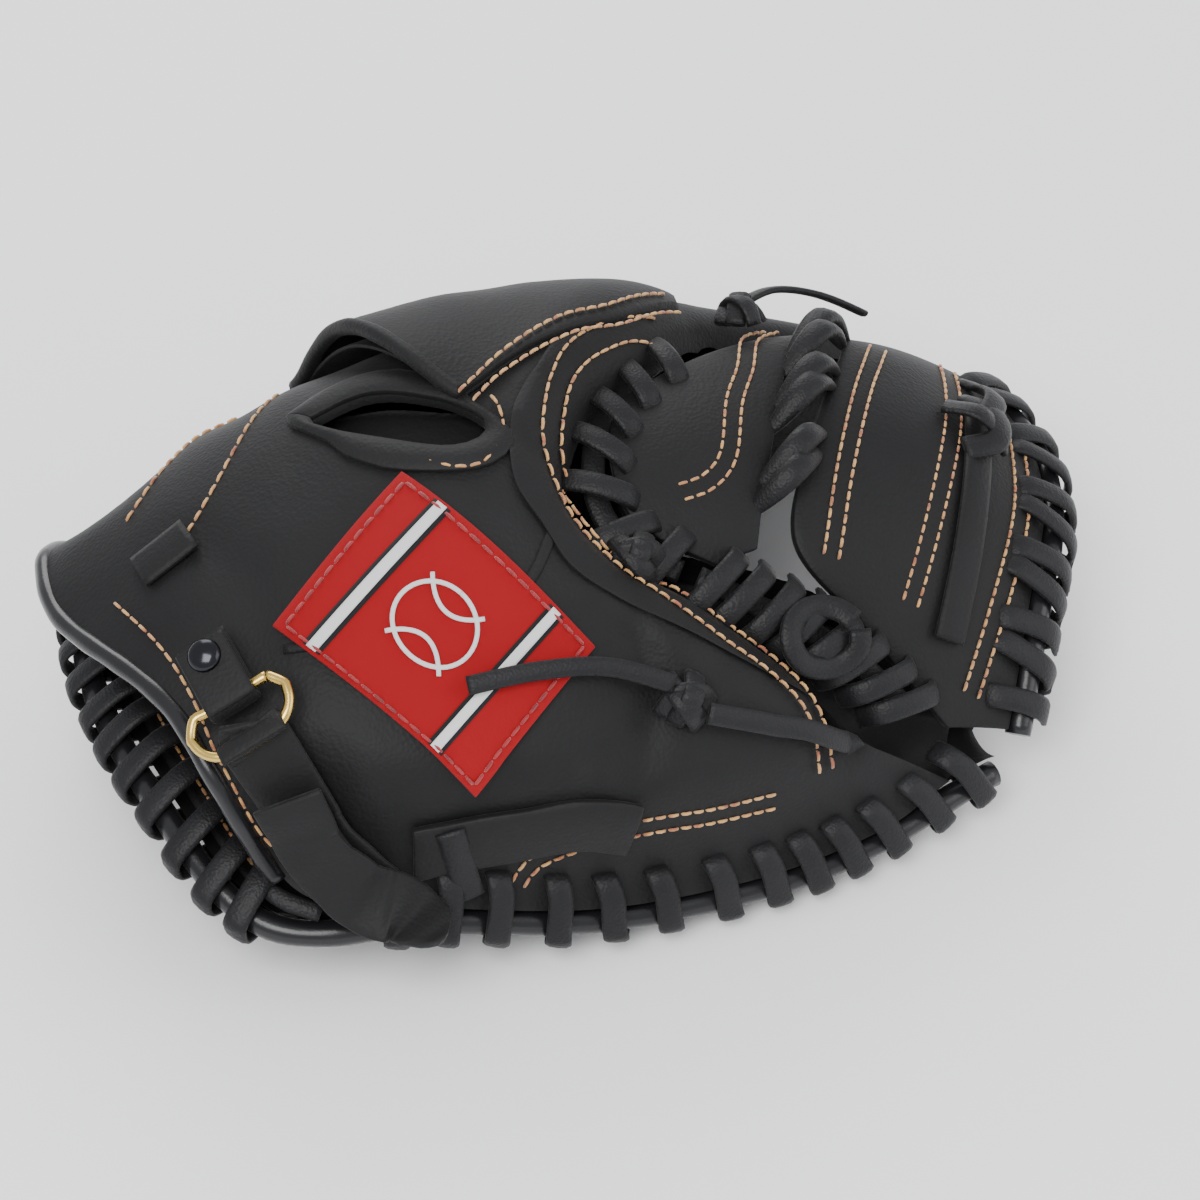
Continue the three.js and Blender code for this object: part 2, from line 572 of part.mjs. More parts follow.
// A rivet head on the tab: a low dome turned about the ring frame's up axis.
const DOME = [[0, 0], [4.5, 0], [3.6, 1.4], [2, 2.2], [0, 2.4]];
const rivet = new THREE.Object3D();
rivet.quaternion.setFromUnitVectors(new THREE.Vector3(0, 1, 0), ringUp);
rivet.position.copy(inRing(0, -12, WRAP + 1.5));
rivet.updateMatrix();
add(hand, "tab_rivet", "steel",
  new THREE.LatheGeometry(DOME.map(([x, y]) => new THREE.Vector2(x, y)), 16).applyMatrix4(rivet.matrix));

// The pull strap comes up from the near side of the wrist, passes through the ring and turns back over itself.
const STRAP_LOW = [[-84, -100], [-89, -86], [-93, -71]];
const STRAP_LIFT = LAYER_GAP + 4;
const along = (line, t, extra) => {
  const [a, b] = curve(line, t);
  const up = slopeNormal(a, b, backHeight);
  return [lift(a, b, backHeight(a, b)).addScaledVector(up, extra), up];
};
const lowRun = [0, 0.4, 0.8, 1.2, 1.6, 1.9].map((t) => along(STRAP_LOW, t, STRAP_LIFT));
band(hand, "pull_strap", [
  ...lowRun.map(([p, n]) => [p, n.negate()]),
  ...fold(RING_DEPTH, -90, -135, 180, 135, 90),
  [inRing(0, RING_DEPTH + 2, WRAP), facing(90)],
], STRAP_WIDTH);

// Its free end peels up about the fold. A hook pad under it holds it down.
const strapEnd = new THREE.Group();
root.add(strapEnd);
const TAIL = [[-93.4, -66], [-88, -90], [-81, -109], [-77, -124]];
const TAIL_LIFT = STRAP_LIFT + 6;
const tailRun = Array.from({ length: 10 }, (_, k) => along(TAIL, k / 3, TAIL_LIFT + Math.max(0, 1.2 - 0.4 * k)));
band(strapEnd, "strap_tail", tailRun, STRAP_WIDTH);
laid(strapEnd, "hook_pad", "hook", [[-91, -77], [-88, -90], [-84, -101]], 6,
  backHeight, STRAP_LIFT + BAND / 2 + 1.2, 15, 1.4);

// ---------- The floor and the origin ----------

// The mitt stands on its rim laces, which lie flat on the floor. The origin is on the floor under its middle.
const FLOOR = 3;
for (const mesh of [hand, thumb].flatMap((group) => group.children)) {
  mesh.geometry.computeBoundingBox();
  if (mesh.geometry.boundingBox.min.z < FLOOR)
    mesh.geometry = toGeometry(toSolid(mesh.geometry).trimByPlane([0, 0, 1], FLOOR));
}
const bounds = new THREE.Box3().setFromObject(root);
const placed = new THREE.Group();
root.position.set(-(bounds.min.x + bounds.max.x) / 2, -(bounds.min.y + bounds.max.y) / 2, -bounds.min.z);
placed.add(root);

export default placed;
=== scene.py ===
import math

import bmesh
import bpy
import numpy as np
from mathutils import Matrix, Vector, noise


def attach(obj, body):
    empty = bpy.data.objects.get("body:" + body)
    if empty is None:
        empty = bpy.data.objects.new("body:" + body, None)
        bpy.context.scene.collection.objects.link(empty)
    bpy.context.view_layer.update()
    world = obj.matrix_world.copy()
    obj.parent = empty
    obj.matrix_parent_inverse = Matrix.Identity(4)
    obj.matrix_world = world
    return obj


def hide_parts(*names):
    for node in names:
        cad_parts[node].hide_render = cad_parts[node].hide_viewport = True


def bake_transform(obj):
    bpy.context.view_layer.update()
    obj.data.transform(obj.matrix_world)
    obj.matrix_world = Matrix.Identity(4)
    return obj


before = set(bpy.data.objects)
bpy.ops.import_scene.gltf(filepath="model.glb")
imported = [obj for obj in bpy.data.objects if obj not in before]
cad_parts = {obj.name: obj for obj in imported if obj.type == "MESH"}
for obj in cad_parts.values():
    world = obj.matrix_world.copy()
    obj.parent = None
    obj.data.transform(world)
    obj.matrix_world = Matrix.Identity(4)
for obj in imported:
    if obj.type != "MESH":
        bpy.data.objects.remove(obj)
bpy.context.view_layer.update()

# ---------- The flat pattern and the middle surface, as in the CAD ----------

ORIGIN = np.array([0.023, 26.777, -3.0])
RIDGE_HEIGHT = [36, 66, 88, 96, 94, 78, 38]
THUMB_SLOPE = [22, 36, 50, 54, 54, 52, 44]
FINGER_SLOPE = [42, 66, 75, 76, 76, 68, 56]
THUMB_BEND, FINGER_BEND = 90, 60
BACK_HEIGHT = [27, 27, 25, 22, 18, 13, 9]
PALM_DEPTH = 20
EDGE_HALF = 4
LEATHER = 2.8
PIPING_RADIUS = 3.6
PIPING_SEAT = PIPING_RADIUS - 0.1

BACK_INNER = [
    (112, 44), (85, 38), (55, 27), (30, 10), (8, -4), (-3, -17), (-7, -24), (-8, -30),
    (-7, -35), (-4, -41), (3, -49), (16, -60), (29, -74), (41, -88), (46, -102),
]
BACK_OUTER = [
    (128, 60), (105, 88), (60, 103), (15, 106), (-35, 102), (-85, 85), (-111, 50), (-127, 6),
    (-110, -40), (-103, -88), (-70, -111), (-26, -131), (20, -137), (55, -131), (78, -119),
]
PALM_INNER = [
    (120, 36), (88, 32), (58, 24), (34, 10), (18, -4), (10, -16), (8, -24), (7, -30),
    (8, -36), (12, -43), (24, -50), (44, -59), (62, -70), (82, -82), (100, -98),
]
PALM_OUTER = [
    (128, 60), (105, 88), (60, 103), (15, 106), (-35, 102), (-85, 85), (-118, 53), (-131, 4),
    (-127, -42), (-110, -90), (-70, -111), (-26, -131), (20, -137), (55, -131), (96, -112),
]
LAST_PAIR = len(BACK_OUTER) - 1


def through(values, t):
    """Catmull-Rom through evenly spaced values, with straight run-outs at both ends."""
    v = np.asarray(values, float)
    t = np.asarray(t, float)
    i = np.clip(np.floor(t).astype(int), 0, len(v) - 2)
    f = t - i
    if v.ndim > 1:
        f = f[..., None]
    v = np.concatenate([[2 * v[0] - v[1]], v, [2 * v[-1] - v[-2]]])
    p, q, r, s = v[i], v[i + 1], v[i + 2], v[i + 3]
    return q + 0.5 * f * (r - p + f * (2 * p - 5 * q + 4 * r - s + f * (3 * (q - r) + s - p)))


def station(values, a):
    return through(values, (np.asarray(a, float) + 150) / 50)


def middle(a, b):
    a, b = np.broadcast_arrays(np.asarray(a, float), np.asarray(b, float))
    thumb = b < 0
    slope = np.radians(np.where(thumb, station(THUMB_SLOPE, a), station(FINGER_SLOPE, a)))
    bend = np.where(thumb, THUMB_BEND, FINGER_BEND)
    y, z = np.zeros_like(a), station(RIDGE_HEIGHT, a)
    for k in range(16):
        s = (k + 0.5) / 16 * np.abs(b)
        phi = slope * (1 - np.exp(-((2 * s / bend) ** 1.5)))
        y = y + np.cos(phi) * b / 16
        z = z - np.sin(phi) * np.abs(b) / 16
    return np.stack([a, y, z], -1)


def unit(v):
    return v / np.maximum(np.linalg.norm(v, axis=-1, keepdims=True), 1e-9)


def normal(a, b):
    along = middle(np.add(a, 0.5), b) - middle(np.subtract(a, 0.5), b)
    across = middle(a, np.add(b, 0.5)) - middle(a, np.subtract(b, 0.5))
    return unit(np.cross(along, across))


def lift(a, b, n):
    return middle(a, b) + normal(a, b) * np.asarray(n, float)[..., None]


def polyline(points, start, stop, steps):
    return through(points, np.linspace(start, stop, steps + 1))


def distance_to(line, a, b):
    """Distance in the pattern from each (a, b) to a polyline."""
    q = np.stack(np.broadcast_arrays(np.asarray(a, float), np.asarray(b, float)), -1)
    best = np.full(q.shape[:-1], np.inf)
    for p, r in zip(line[:-1], line[1:]):
        d = r - p
        t = np.clip(((q - p) @ d) / max(d @ d, 1e-9), 0, 1)
        best = np.minimum(best, np.linalg.norm(q - p - t[..., None] * d, axis=-1))
    return best


def quarter_round(d, width):
    return np.sqrt(1 - (1 - np.minimum(1, d / width)) ** 2)


def smoothstep(d, width):
    x = np.clip(d / width, 0, 1)
    return x * x * (3 - 2 * x)


BACK_RIM = [polyline(BACK_OUTER, 0, 6, 20), polyline(BACK_OUTER, 9, LAST_PAIR, 20)]
BACK_CROTCH = polyline(BACK_INNER, 0, LAST_PAIR, 44)
PALM_RIM = polyline(PALM_OUTER, 0, LAST_PAIR, 56)
PALM_CROTCH = polyline(PALM_INNER, 0, LAST_PAIR, 44)


def back(a, b):
    """Height of the back's outer face."""
    rim = np.minimum(*[distance_to(line, a, b) for line in BACK_RIM])
    rise = smoothstep(rim, 38) * quarter_round(distance_to(BACK_CROTCH, a, b), 16)
    return EDGE_HALF + (station(BACK_HEIGHT, a) - EDGE_HALF) * rise


def palm(a, b):
    """Depth of the palm's outer face."""
    edge = np.minimum(distance_to(PALM_RIM, a, b), distance_to(PALM_CROTCH, a, b))
    return EDGE_HALF + (PALM_DEPTH - EDGE_HALF) * quarter_round(edge, 22)


def slope_normal(a, b, height):
    def at(da, db):
        return lift(np.add(a, da), np.add(b, db), height(np.add(a, da), np.add(b, db)))

    return unit(np.cross(at(1, 0) - at(-1, 0), at(0, 1) - at(0, -1)))


def on_back(a, b, clear):
    """Points over the back, clear of it along its own normal."""
    return lift(a, b, back(a, b)) + slope_normal(a, b, back) * clear


def beside(outline, t, out):
    """The pattern point a distance out past an outline at pair t."""
    d = unit(through(outline, np.add(t, 0.05)) - through(outline, np.subtract(t, 0.05)))
    out = np.asarray(out, float)
    return through(outline, t) + np.stack([d[..., 1] * out, -d[..., 0] * out], -1)


# ---------- Meshes ----------


def place(points):
    return (np.asarray(points, float).reshape(-1, 3) + ORIGIN) / 1000


def make(name, points, faces, material, smooth=True, uvs=None):
    mesh = bpy.data.meshes.new(name)
    mesh.from_pydata(place(points).tolist(), [], faces)
    mesh.validate()
    if uvs is not None:
        layer = mesh.uv_layers.new(name="pattern")
        loops = np.zeros(len(mesh.loops), int)
        mesh.loops.foreach_get("vertex_index", loops)
        layer.data.foreach_set("uv", np.asarray(uvs, float).reshape(-1, 2)[loops].ravel())
    mesh.polygons.foreach_set("use_smooth", [smooth] * len(mesh.polygons))
    obj = bpy.data.objects.new(name, mesh)
    bpy.context.scene.collection.objects.link(obj)
    obj.data.materials.append(material)
    return obj


def modify(obj, kind, **settings):
    m = obj.modifiers.new(kind.lower(), kind)
    for key, value in settings.items():
        setattr(m, key, value)
    return m


def grid_faces(rows, columns, first=0, flip=False):
    """Quads of a (rows + 1) by (columns + 1) grid of vertices."""
    faces = []
    for i in range(rows):
        for j in range(columns):
            p = first + i * (columns + 1) + j
            quad = (p, p + columns + 1, p + columns + 2, p + 1)
            faces.append(quad[::-1] if flip else quad)
    return faces


def slab(name, outer, inner, material, uvs=None):
    """A closed slab between two equal grids of points."""
    rows, columns = outer.shape[0] - 1, outer.shape[1] - 1
    size = (rows + 1) * (columns + 1)
    faces = grid_faces(rows, columns) + grid_faces(rows, columns, size, flip=True)
    border = [(i, 0) for i in range(rows)] + [(rows, j) for j in range(columns)]
    border += [(i, columns) for i in range(rows, 0, -1)] + [(0, j) for j in range(columns, 0, -1)]
    ids = [i * (columns + 1) + j for i, j in border]
    for p, q in zip(ids, ids[1:] + ids[:1]):
        faces.append((q, p, p + size, q + size))
    points = np.concatenate([outer.reshape(-1, 3), inner.reshape(-1, 3)])
    if uvs is not None:
        uvs = np.concatenate([uvs.reshape(-1, 2)] * 2)
    obj = make(name, points, faces, material, uvs=uvs)
    outward(obj)
    return obj


def outward(obj):
    """Turns every face to point out of the closed mesh."""
    work = bmesh.new()
    work.from_mesh(obj.data)
    bmesh.ops.recalc_face_normals(work, faces=work.faces)
    work.to_mesh(obj.data)
    work.free()


def softened(obj, width=0.5, segments=2):
    angle = math.radians(50)
    modify(obj, "BEVEL", width=width / 1000, segments=segments, limit_method="ANGLE", angle_limit=angle)
    return obj


def resample(points, spacing):
    """Points evenly spaced along a smooth curve through the given points."""
    p = np.asarray(points, float)
    t = np.linspace(0, len(p) - 1, 40 * len(p))
    fine = through(p, t)
    steps = np.linalg.norm(np.diff(fine, axis=0), axis=1)
    run = np.concatenate([[0], np.cumsum(steps)])
    count = max(4, int(round(run[-1] / spacing)))
    want = np.linspace(0, run[-1], count + 1)
    return np.stack([np.interp(want, run, fine[:, k]) for k in range(fine.shape[1])], -1)


def section(width, thick, sides=10, power=2.6):
    """A rounded rectangle as points (side, up)."""
    angles = np.linspace(0, 2 * np.pi, sides, endpoint=False) + np.pi / sides
    c, s = np.cos(angles), np.sin(angles)
    squared = lambda x: np.sign(x) * np.abs(x) ** (2 / power)
    return np.stack([squared(c) * width / 2, squared(s) * thick / 2], -1)


def sweep(points, normals, profile, scale=None):
    """Vertices and faces of a profile (side, up) swept along points, its up side along the normals."""
    points, normals = np.asarray(points, float), unit(np.asarray(normals, float))
    tangent = unit(np.gradient(points, axis=0))
    side = unit(np.cross(tangent, normals))
    up = np.cross(side, tangent)
    scale = np.ones((len(points), 2)) if scale is None else np.asarray(scale, float)
    rings = (
        points[:, None]
        + side[:, None] * (profile[:, 0] * scale[:, :1])[..., None]
        + up[:, None] * (profile[:, 1] * scale[:, 1:])[..., None]
    )
    m = len(profile)
    faces = []
    for k in range(len(points) - 1):
        for c in range(m):
            p, q = k * m + c, k * m + (c + 1) % m
            faces.append((p, q, q + m, p + m))
    faces.append(tuple(range(m))[::-1])
    faces.append(tuple((len(points) - 1) * m + c for c in range(m)))
    return rings.reshape(-1, 3), faces


def join_parts(parts):
    """One vertex list and face list from several."""
    points, faces, count = [], [], 0
    for p, f in parts:
        points.append(p)
        faces += [tuple(i + count for i in face) for face in f]
        count += len(p)
    return np.concatenate(points), faces


# ---------- Materials ----------


def nodes_of(material):
    material.use_nodes = True
    tree = material.node_tree
    return tree, tree.nodes.get("Principled BSDF")


def pattern(tree, kind, scale, **inputs):
    """A texture laid out in the object's own space."""
    where = tree.nodes.new("ShaderNodeTexCoord")
    texture = tree.nodes.new(kind)
    texture.inputs["Scale"].default_value = scale
    for key, value in inputs.items():
        texture.inputs[key].default_value = value
    tree.links.new(where.outputs["Object"], texture.inputs["Vector"])
    return texture


def two_tone(tree, factor, first, second):
    """A colour between two, by a factor."""
    tone = tree.nodes.new("ShaderNodeMixRGB")
    tree.links.new(factor, tone.inputs["Fac"])
    tone.inputs["Color1"].default_value = (*first, 1)
    tone.inputs["Color2"].default_value = (*second, 1)
    return tone.outputs["Color"]


def contrast(tree, factor, low, high):
    """A factor stretched from black at low to white at high."""
    ramp = tree.nodes.new("ShaderNodeValToRGB")
    ramp.color_ramp.elements[0].position = low
    ramp.color_ramp.elements[1].position = high
    tree.links.new(factor, ramp.inputs["Fac"])
    return ramp.outputs["Color"]


def combine(tree, operation, first, second):
    """Two factors, or a factor and a number, put through a sum or a product."""
    result = tree.nodes.new("ShaderNodeMath")
    result.operation = operation
    tree.links.new(first, result.inputs[0])
    if isinstance(second, float):
        result.inputs[1].default_value = second
    else:
        tree.links.new(second, result.inputs[1])
    return result.outputs[0]


def roughened(tree, shader, factor, low, high):
    spread = tree.nodes.new("ShaderNodeMapRange")
    spread.inputs["To Min"].default_value = low
    spread.inputs["To Max"].default_value = high
    tree.links.new(factor, spread.inputs["Value"])
    tree.links.new(spread.outputs["Result"], shader.inputs["Roughness"])


def raised(tree, shader, height, strength, distance):
    bump = tree.nodes.new("ShaderNodeBump")
    bump.inputs["Strength"].default_value = strength
    bump.inputs["Distance"].default_value = distance
    tree.links.new(height, bump.inputs["Height"])
    tree.links.new(bump.outputs["Normal"], shader.inputs["Normal"])


def leather(name, dark, light, rough, grain=900, bump=0.25, sheen=0.03, wear=0.0, coat=0.0):
    """Grained leather: two mottled tones, fine pebbles and pores in the bump, and paler where it is rubbed."""
    material = bpy.data.materials.new(name)
    tree, shader = nodes_of(material)
    mottle = pattern(tree, "ShaderNodeTexNoise", 18, Detail=5, Roughness=0.6).outputs["Fac"]
    fine = pattern(tree, "ShaderNodeTexNoise", grain * 0.6, Detail=3).outputs["Fac"]
    pebble = pattern(tree, "ShaderNodeTexVoronoi", grain).outputs["Distance"]
    colour = two_tone(tree, contrast(tree, mottle, 0.35, 0.7), dark, light)
    if wear:
        edge = tree.nodes.new("ShaderNodeNewGeometry").outputs["Pointiness"]
        amount = combine(tree, "MULTIPLY", contrast(tree, edge, 0.52, 0.6), float(wear))
        worn = tree.nodes.new("ShaderNodeMixRGB")
        tree.links.new(amount, worn.inputs["Fac"])
        tree.links.new(colour, worn.inputs["Color1"])
        worn.inputs["Color2"].default_value = (*[min(1, 3.2 * c) for c in light], 1)
        colour = worn.outputs["Color"]
    tree.links.new(colour, shader.inputs["Base Color"])
    roughened(tree, shader, mottle, *rough)
    raised(tree, shader, combine(tree, "ADD", fine, pebble), bump, 0.0004)
    shader.inputs["Sheen Weight"].default_value = sheen
    shader.inputs["Sheen Roughness"].default_value = 0.4
    shader.inputs["Specular IOR Level"].default_value = 0.24
    shader.inputs["Coat Weight"].default_value = coat
    shader.inputs["Coat Roughness"].default_value = 0.25
    return material


NUBUCK = leather(
    "nubuck", (0.0042, 0.0042, 0.0045), (0.0078, 0.0078, 0.0082), (0.52, 0.68), wear=0.3)
PALM_HIDE = leather(
    "palm_hide", (0.0045, 0.0043, 0.0045), (0.0085, 0.0082, 0.0085), (0.5, 0.62), grain=700, wear=0.3)
GLOSSY = leather(
    "piping", (0.006, 0.006, 0.007), (0.011, 0.011, 0.012), (0.22, 0.34), grain=1400, bump=0.08, coat=0.3)
THONG = leather(
    "rawhide_lace", (0.0055, 0.0055, 0.006), (0.0115, 0.0115, 0.0125), (0.42, 0.58),
    grain=1300, bump=0.3, wear=0.5)
LINING = leather(
    "lining", (0.0055, 0.0052, 0.005), (0.0095, 0.009, 0.0085), (0.6, 0.75), grain=800)


def thread(name, colour, flecks):
    """Stitching thread: twisted strands in the bump, with some darker turns."""
    material = bpy.data.materials.new(name)
    tree, shader = nodes_of(material)
    twist = pattern(tree, "ShaderNodeTexWave", 900, Distortion=1.5).outputs["Fac"]
    patches = pattern(tree, "ShaderNodeTexNoise", 260).outputs["Fac"]
    tone = two_tone(tree, contrast(tree, patches, 0.45, 0.68), colour, flecks)
    tree.links.new(tone, shader.inputs["Base Color"])
    raised(tree, shader, twist, 0.4, 0.0002)
    shader.inputs["Roughness"].default_value = 0.5
    shader.inputs["Sheen Weight"].default_value = 0.3
    return material


def metal(name, colour, rough):
    """Plated metal with fine scratches and slight tarnish."""
    material = bpy.data.materials.new(name)
    tree, shader = nodes_of(material)
    cloud = pattern(tree, "ShaderNodeTexNoise", 180, Detail=6).outputs["Fac"]
    tarnish = combine(tree, "MULTIPLY", cloud, 0.45)
    tone = two_tone(tree, tarnish, colour, [0.62 * c for c in colour])
    tree.links.new(tone, shader.inputs["Base Color"])
    roughened(tree, shader, cloud, rough, rough + 0.15)
    raised(tree, shader, cloud, 0.05, 0.0001)
    shader.inputs["Metallic"].default_value = 1
    return material


def woven(name, dark, light):
    """Embroidered cloth: two crossing waves of thread."""
    material = bpy.data.materials.new(name)
    tree, shader = nodes_of(material)
    waves = []
    for direction in ("X", "Y"):
        wave = pattern(tree, "ShaderNodeTexWave", 1500, Distortion=0.6)
        wave.bands_direction = direction
        waves.append(wave.outputs["Fac"])
    cross = combine(tree, "MULTIPLY", *waves)
    tree.links.new(two_tone(tree, cross, dark, light), shader.inputs["Base Color"])
    raised(tree, shader, cross, 0.5, 0.0003)
    shader.inputs["Roughness"].default_value = 0.7
    shader.inputs["Sheen Weight"].default_value = 0.05
    shader.inputs["Specular IOR Level"].default_value = 0.2
    return material


GOLD_THREAD = thread("gold_thread", (0.55, 0.30, 0.10), (0.30, 0.08, 0.03))
RED_THREAD = thread("red_thread", (0.30, 0.008, 0.012), (0.16, 0.004, 0.006))
BRASS = metal("brass", (0.72, 0.50, 0.14), 0.18)
BLACK_METAL = metal("black_rivet", (0.035, 0.035, 0.04), 0.12)
RED_CLOTH = woven("patch_red", (0.26, 0.0012, 0.004), (0.38, 0.002, 0.007))
WHITE_CLOTH = woven("patch_white", (0.62, 0.62, 0.62), (0.85, 0.85, 0.85))
BLACK_CLOTH = woven("patch_black", (0.008, 0.008, 0.009), (0.02, 0.02, 0.022))

# ---------- How pieces ride ----------


def fixed(obj):
    """Applies the modifiers, so that the mesh is final."""
    graph = bpy.context.evaluated_depsgraph_get()
    final = obj.evaluated_get(graph)
    mesh = bpy.data.meshes.new_from_object(final, preserve_all_data_layers=True, depsgraph=graph)
    obj.modifiers.clear()
    obj.data = mesh
    return obj


def bends(obj, slot, *nodes):
    """A soft piece, with its modifiers applied, its place baked into the mesh and the CAD parts that it
    replaces hidden.
    """
    fixed(obj)
    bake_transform(obj)
    if nodes:
        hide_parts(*nodes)
    return obj


def rides(obj, body, slot, *nodes):
    fixed(obj)
    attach(obj, body)
    if nodes:
        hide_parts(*nodes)
    return obj


# ---------- Back and palm ----------


def fbm(points, scale, seed):
    """Smooth noise at each point, from -1 to 1."""
    shift = Vector((seed, -seed, 2 * seed))
    values = [noise.noise(Vector(p) * scale + shift) for p in points.reshape(-1, 3)]
    return np.array(values).reshape(points.shape[:-1])


# Creases worn into the back: pattern points, width and depth.
CREASES = [
    ([(-28, -8), (-8, -22), (0, -44), (-4, -70)], 7, 1.3),
    ([(-12, -58), (-2, -74), (-14, -98)], 8, 1.5),
    ([(-64, -96), (-48, -88), (-30, -92)], 7, 1.2),
    ([(-92, -4), (-84, -22), (-88, -40)], 9, 1.0),
    ([(20, -74), (8, -84), (-6, -86)], 7, 0.9),
    ([(-70, 30), (-60, 50), (-70, 74)], 12, 1.5),
    ([(-20, 58), (10, 66), (50, 62)], 8, 1.6),
    ([(-10, 82), (30, 86), (70, 80)], 8, 1.4),
]
SOFT_LINES = [(resample(line, 4), width, depth) for line, width, depth in CREASES]


def worn_back(a, b):
    """The back's height with its creases and the slight unevenness of worn leather."""
    height = back(a, b)
    for line, width, depth in SOFT_LINES:
        height = height - depth * np.exp(-((distance_to(line, a, b) / width) ** 2) * 2)
    flat = np.stack([a, b, np.zeros_like(a)], -1)
    rim = np.minimum(*[distance_to(line, a, b) for line in BACK_RIM])
    edge = np.minimum(rim, distance_to(BACK_CROTCH, a, b))
    return height + (0.9 * fbm(flat, 0.035, 3.1) + 0.3 * fbm(flat, 0.11, 9.7)) * smoothstep(edge, 14)


def horseshoe(inner, outer, start, stop, near, far, rows, columns):
    """Pattern points of part of the horseshoe, rows along it and columns from the inner to the outer edge."""
    t = np.linspace(start, stop, rows + 1)
    share = np.linspace(0, 1, columns + 1)
    share = 0.5 * share + 0.5 * (1 - np.cos(np.pi * share)) / 2
    share = (near + (far - near) * share)[None, :, None]
    p, q = through(inner, t)[:, None], through(outer, t)[:, None]
    grid = p + (q - p) * share
    return grid[..., 0], grid[..., 1]


HOLE = [(-57, 8), (-44, 8), (-31, 1), (-22, -9), (-25, -14), (-34, -13), (-46, -5), (-57, 6)]


def back_shell():
    a, b = horseshoe(BACK_INNER, BACK_OUTER, 0, LAST_PAIR, 0, 1, 240, 84)
    height = worn_back(a, b)
    outer, inner = lift(a, b, height), lift(a, b, height - LEATHER)
    obj = slab("back_leather", outer, inner, NUBUCK, np.stack([a, b], -1) / 100)
    cut_through(obj, HOLE)
    bends(softened(obj, 0.8), "leather", "back_shell", "thumb_back_shell")


def cut_through(obj, outline):
    """Cuts an opening in the back, along a closed outline in the pattern."""
    loop = resample(outline + outline[:1], 3)[:-1]
    a, b = loop[:, 0], loop[:, 1]
    height = back(a, b)
    m = len(loop)
    points = np.concatenate([lift(a, b, height - 12), lift(a, b, height + 12)])
    faces = [(k, (k + 1) % m, m + (k + 1) % m, m + k) for k in range(m)]
    faces += [tuple(range(m))[::-1], tuple(range(m, 2 * m))]
    cutter = make("cutter", points, faces, NUBUCK)
    outward(cutter)
    modify(obj, "BOOLEAN", object=cutter, operation="DIFFERENCE", solver="EXACT")
    fixed(obj)
    bpy.data.objects.remove(cutter)


def palm_shell():
    a, b = horseshoe(PALM_INNER, PALM_OUTER, 0, LAST_PAIR, 0, 1, 220, 90)
    flat = np.stack([a, b, np.zeros_like(a)], -1)
    edge = np.minimum(distance_to(PALM_RIM, a, b), distance_to(PALM_CROTCH, a, b))
    puff = 1.1 * fbm(flat, 0.04, 5.5) + 0.4 * fbm(flat, 0.13, 1.7)
    depth = palm(a, b) + puff * smoothstep(edge, 14)
    outer, inner = lift(a, b, -depth), lift(a, b, LEATHER - depth)
    obj = slab("palm_leather", outer, inner, PALM_HIDE, np.stack([a, b], -1) / 100)
    bends(softened(obj, 0.8), "leather", "palm_shell", "thumb_palm_shell")


# ---------- Piping and laces ----------


def tube(name, points, radius, material, spacing=2.5, sides=14):
    """A round cord of slightly uneven thickness."""
    line = resample(points, spacing)
    tangent = unit(np.gradient(line, axis=0))
    up = unit(np.cross(tangent, np.roll(tangent, 1, -1)))
    for k in range(1, len(up)):
        up[k] = unit(up[k - 1] - tangent[k] * (up[k - 1] @ tangent[k]))
    wobble = 1 + 0.03 * np.sin(np.arange(len(line)) * 0.9)
    profile = section(2 * radius, 2 * radius, sides, 2)
    return make(name, *sweep(line, up, profile, np.stack([wobble] * 2, -1)), material)


def rim_line(outline, start, stop, out, n, steps):
    t = np.linspace(start, stop, steps + 1)
    q = beside(outline, t, out)
    return lift(q[:, 0], q[:, 1], np.full(len(t), n))


def piping():
    line = rim_line(PALM_OUTER, 0.2, 13.9, PIPING_SEAT, 0, 160)
    obj = tube("rim_piping", line, PIPING_RADIUS, GLOSSY)
    bends(obj, "piping", "finger_piping", "heel_piping", "thumb_piping")


# A sweep's points and normals are resampled together, with the normals scaled to matter as much as the points.
NORMAL_SCALE = 20


def framed(run, spacing):
    """Evenly spaced points and normals from a list of (point, normal)."""
    both = resample([(*p, *(NORMAL_SCALE * n)) for p, n in run], spacing)
    return both[:, :3], both[:, 3:]


def lace_parts(paths, width, thick):
    """Swept laces, each from a list of (point, normal)."""
    profile = section(width, thick)
    return [sweep(*framed(path, 1.5), profile) for path in paths]


def rim_frame(outline, t, out, n, deg):
    """A point round the rim and its outward normal: deg is 90 on the back, 0 outwards and -90 on the palm."""
    q = beside(outline, t, out)
    up = normal(q[0], q[1])
    further = beside(outline, t, out + 1)
    ahead = unit(lift(further[0], further[1], 0) - lift(q[0], q[1], 0))
    turn = math.radians(deg)
    return lift(q[0], q[1], n), unit(up * math.sin(turn) + ahead * math.cos(turn))


WRAP_INSET = 9
WRAP_REACH = PIPING_RADIUS + 1.5


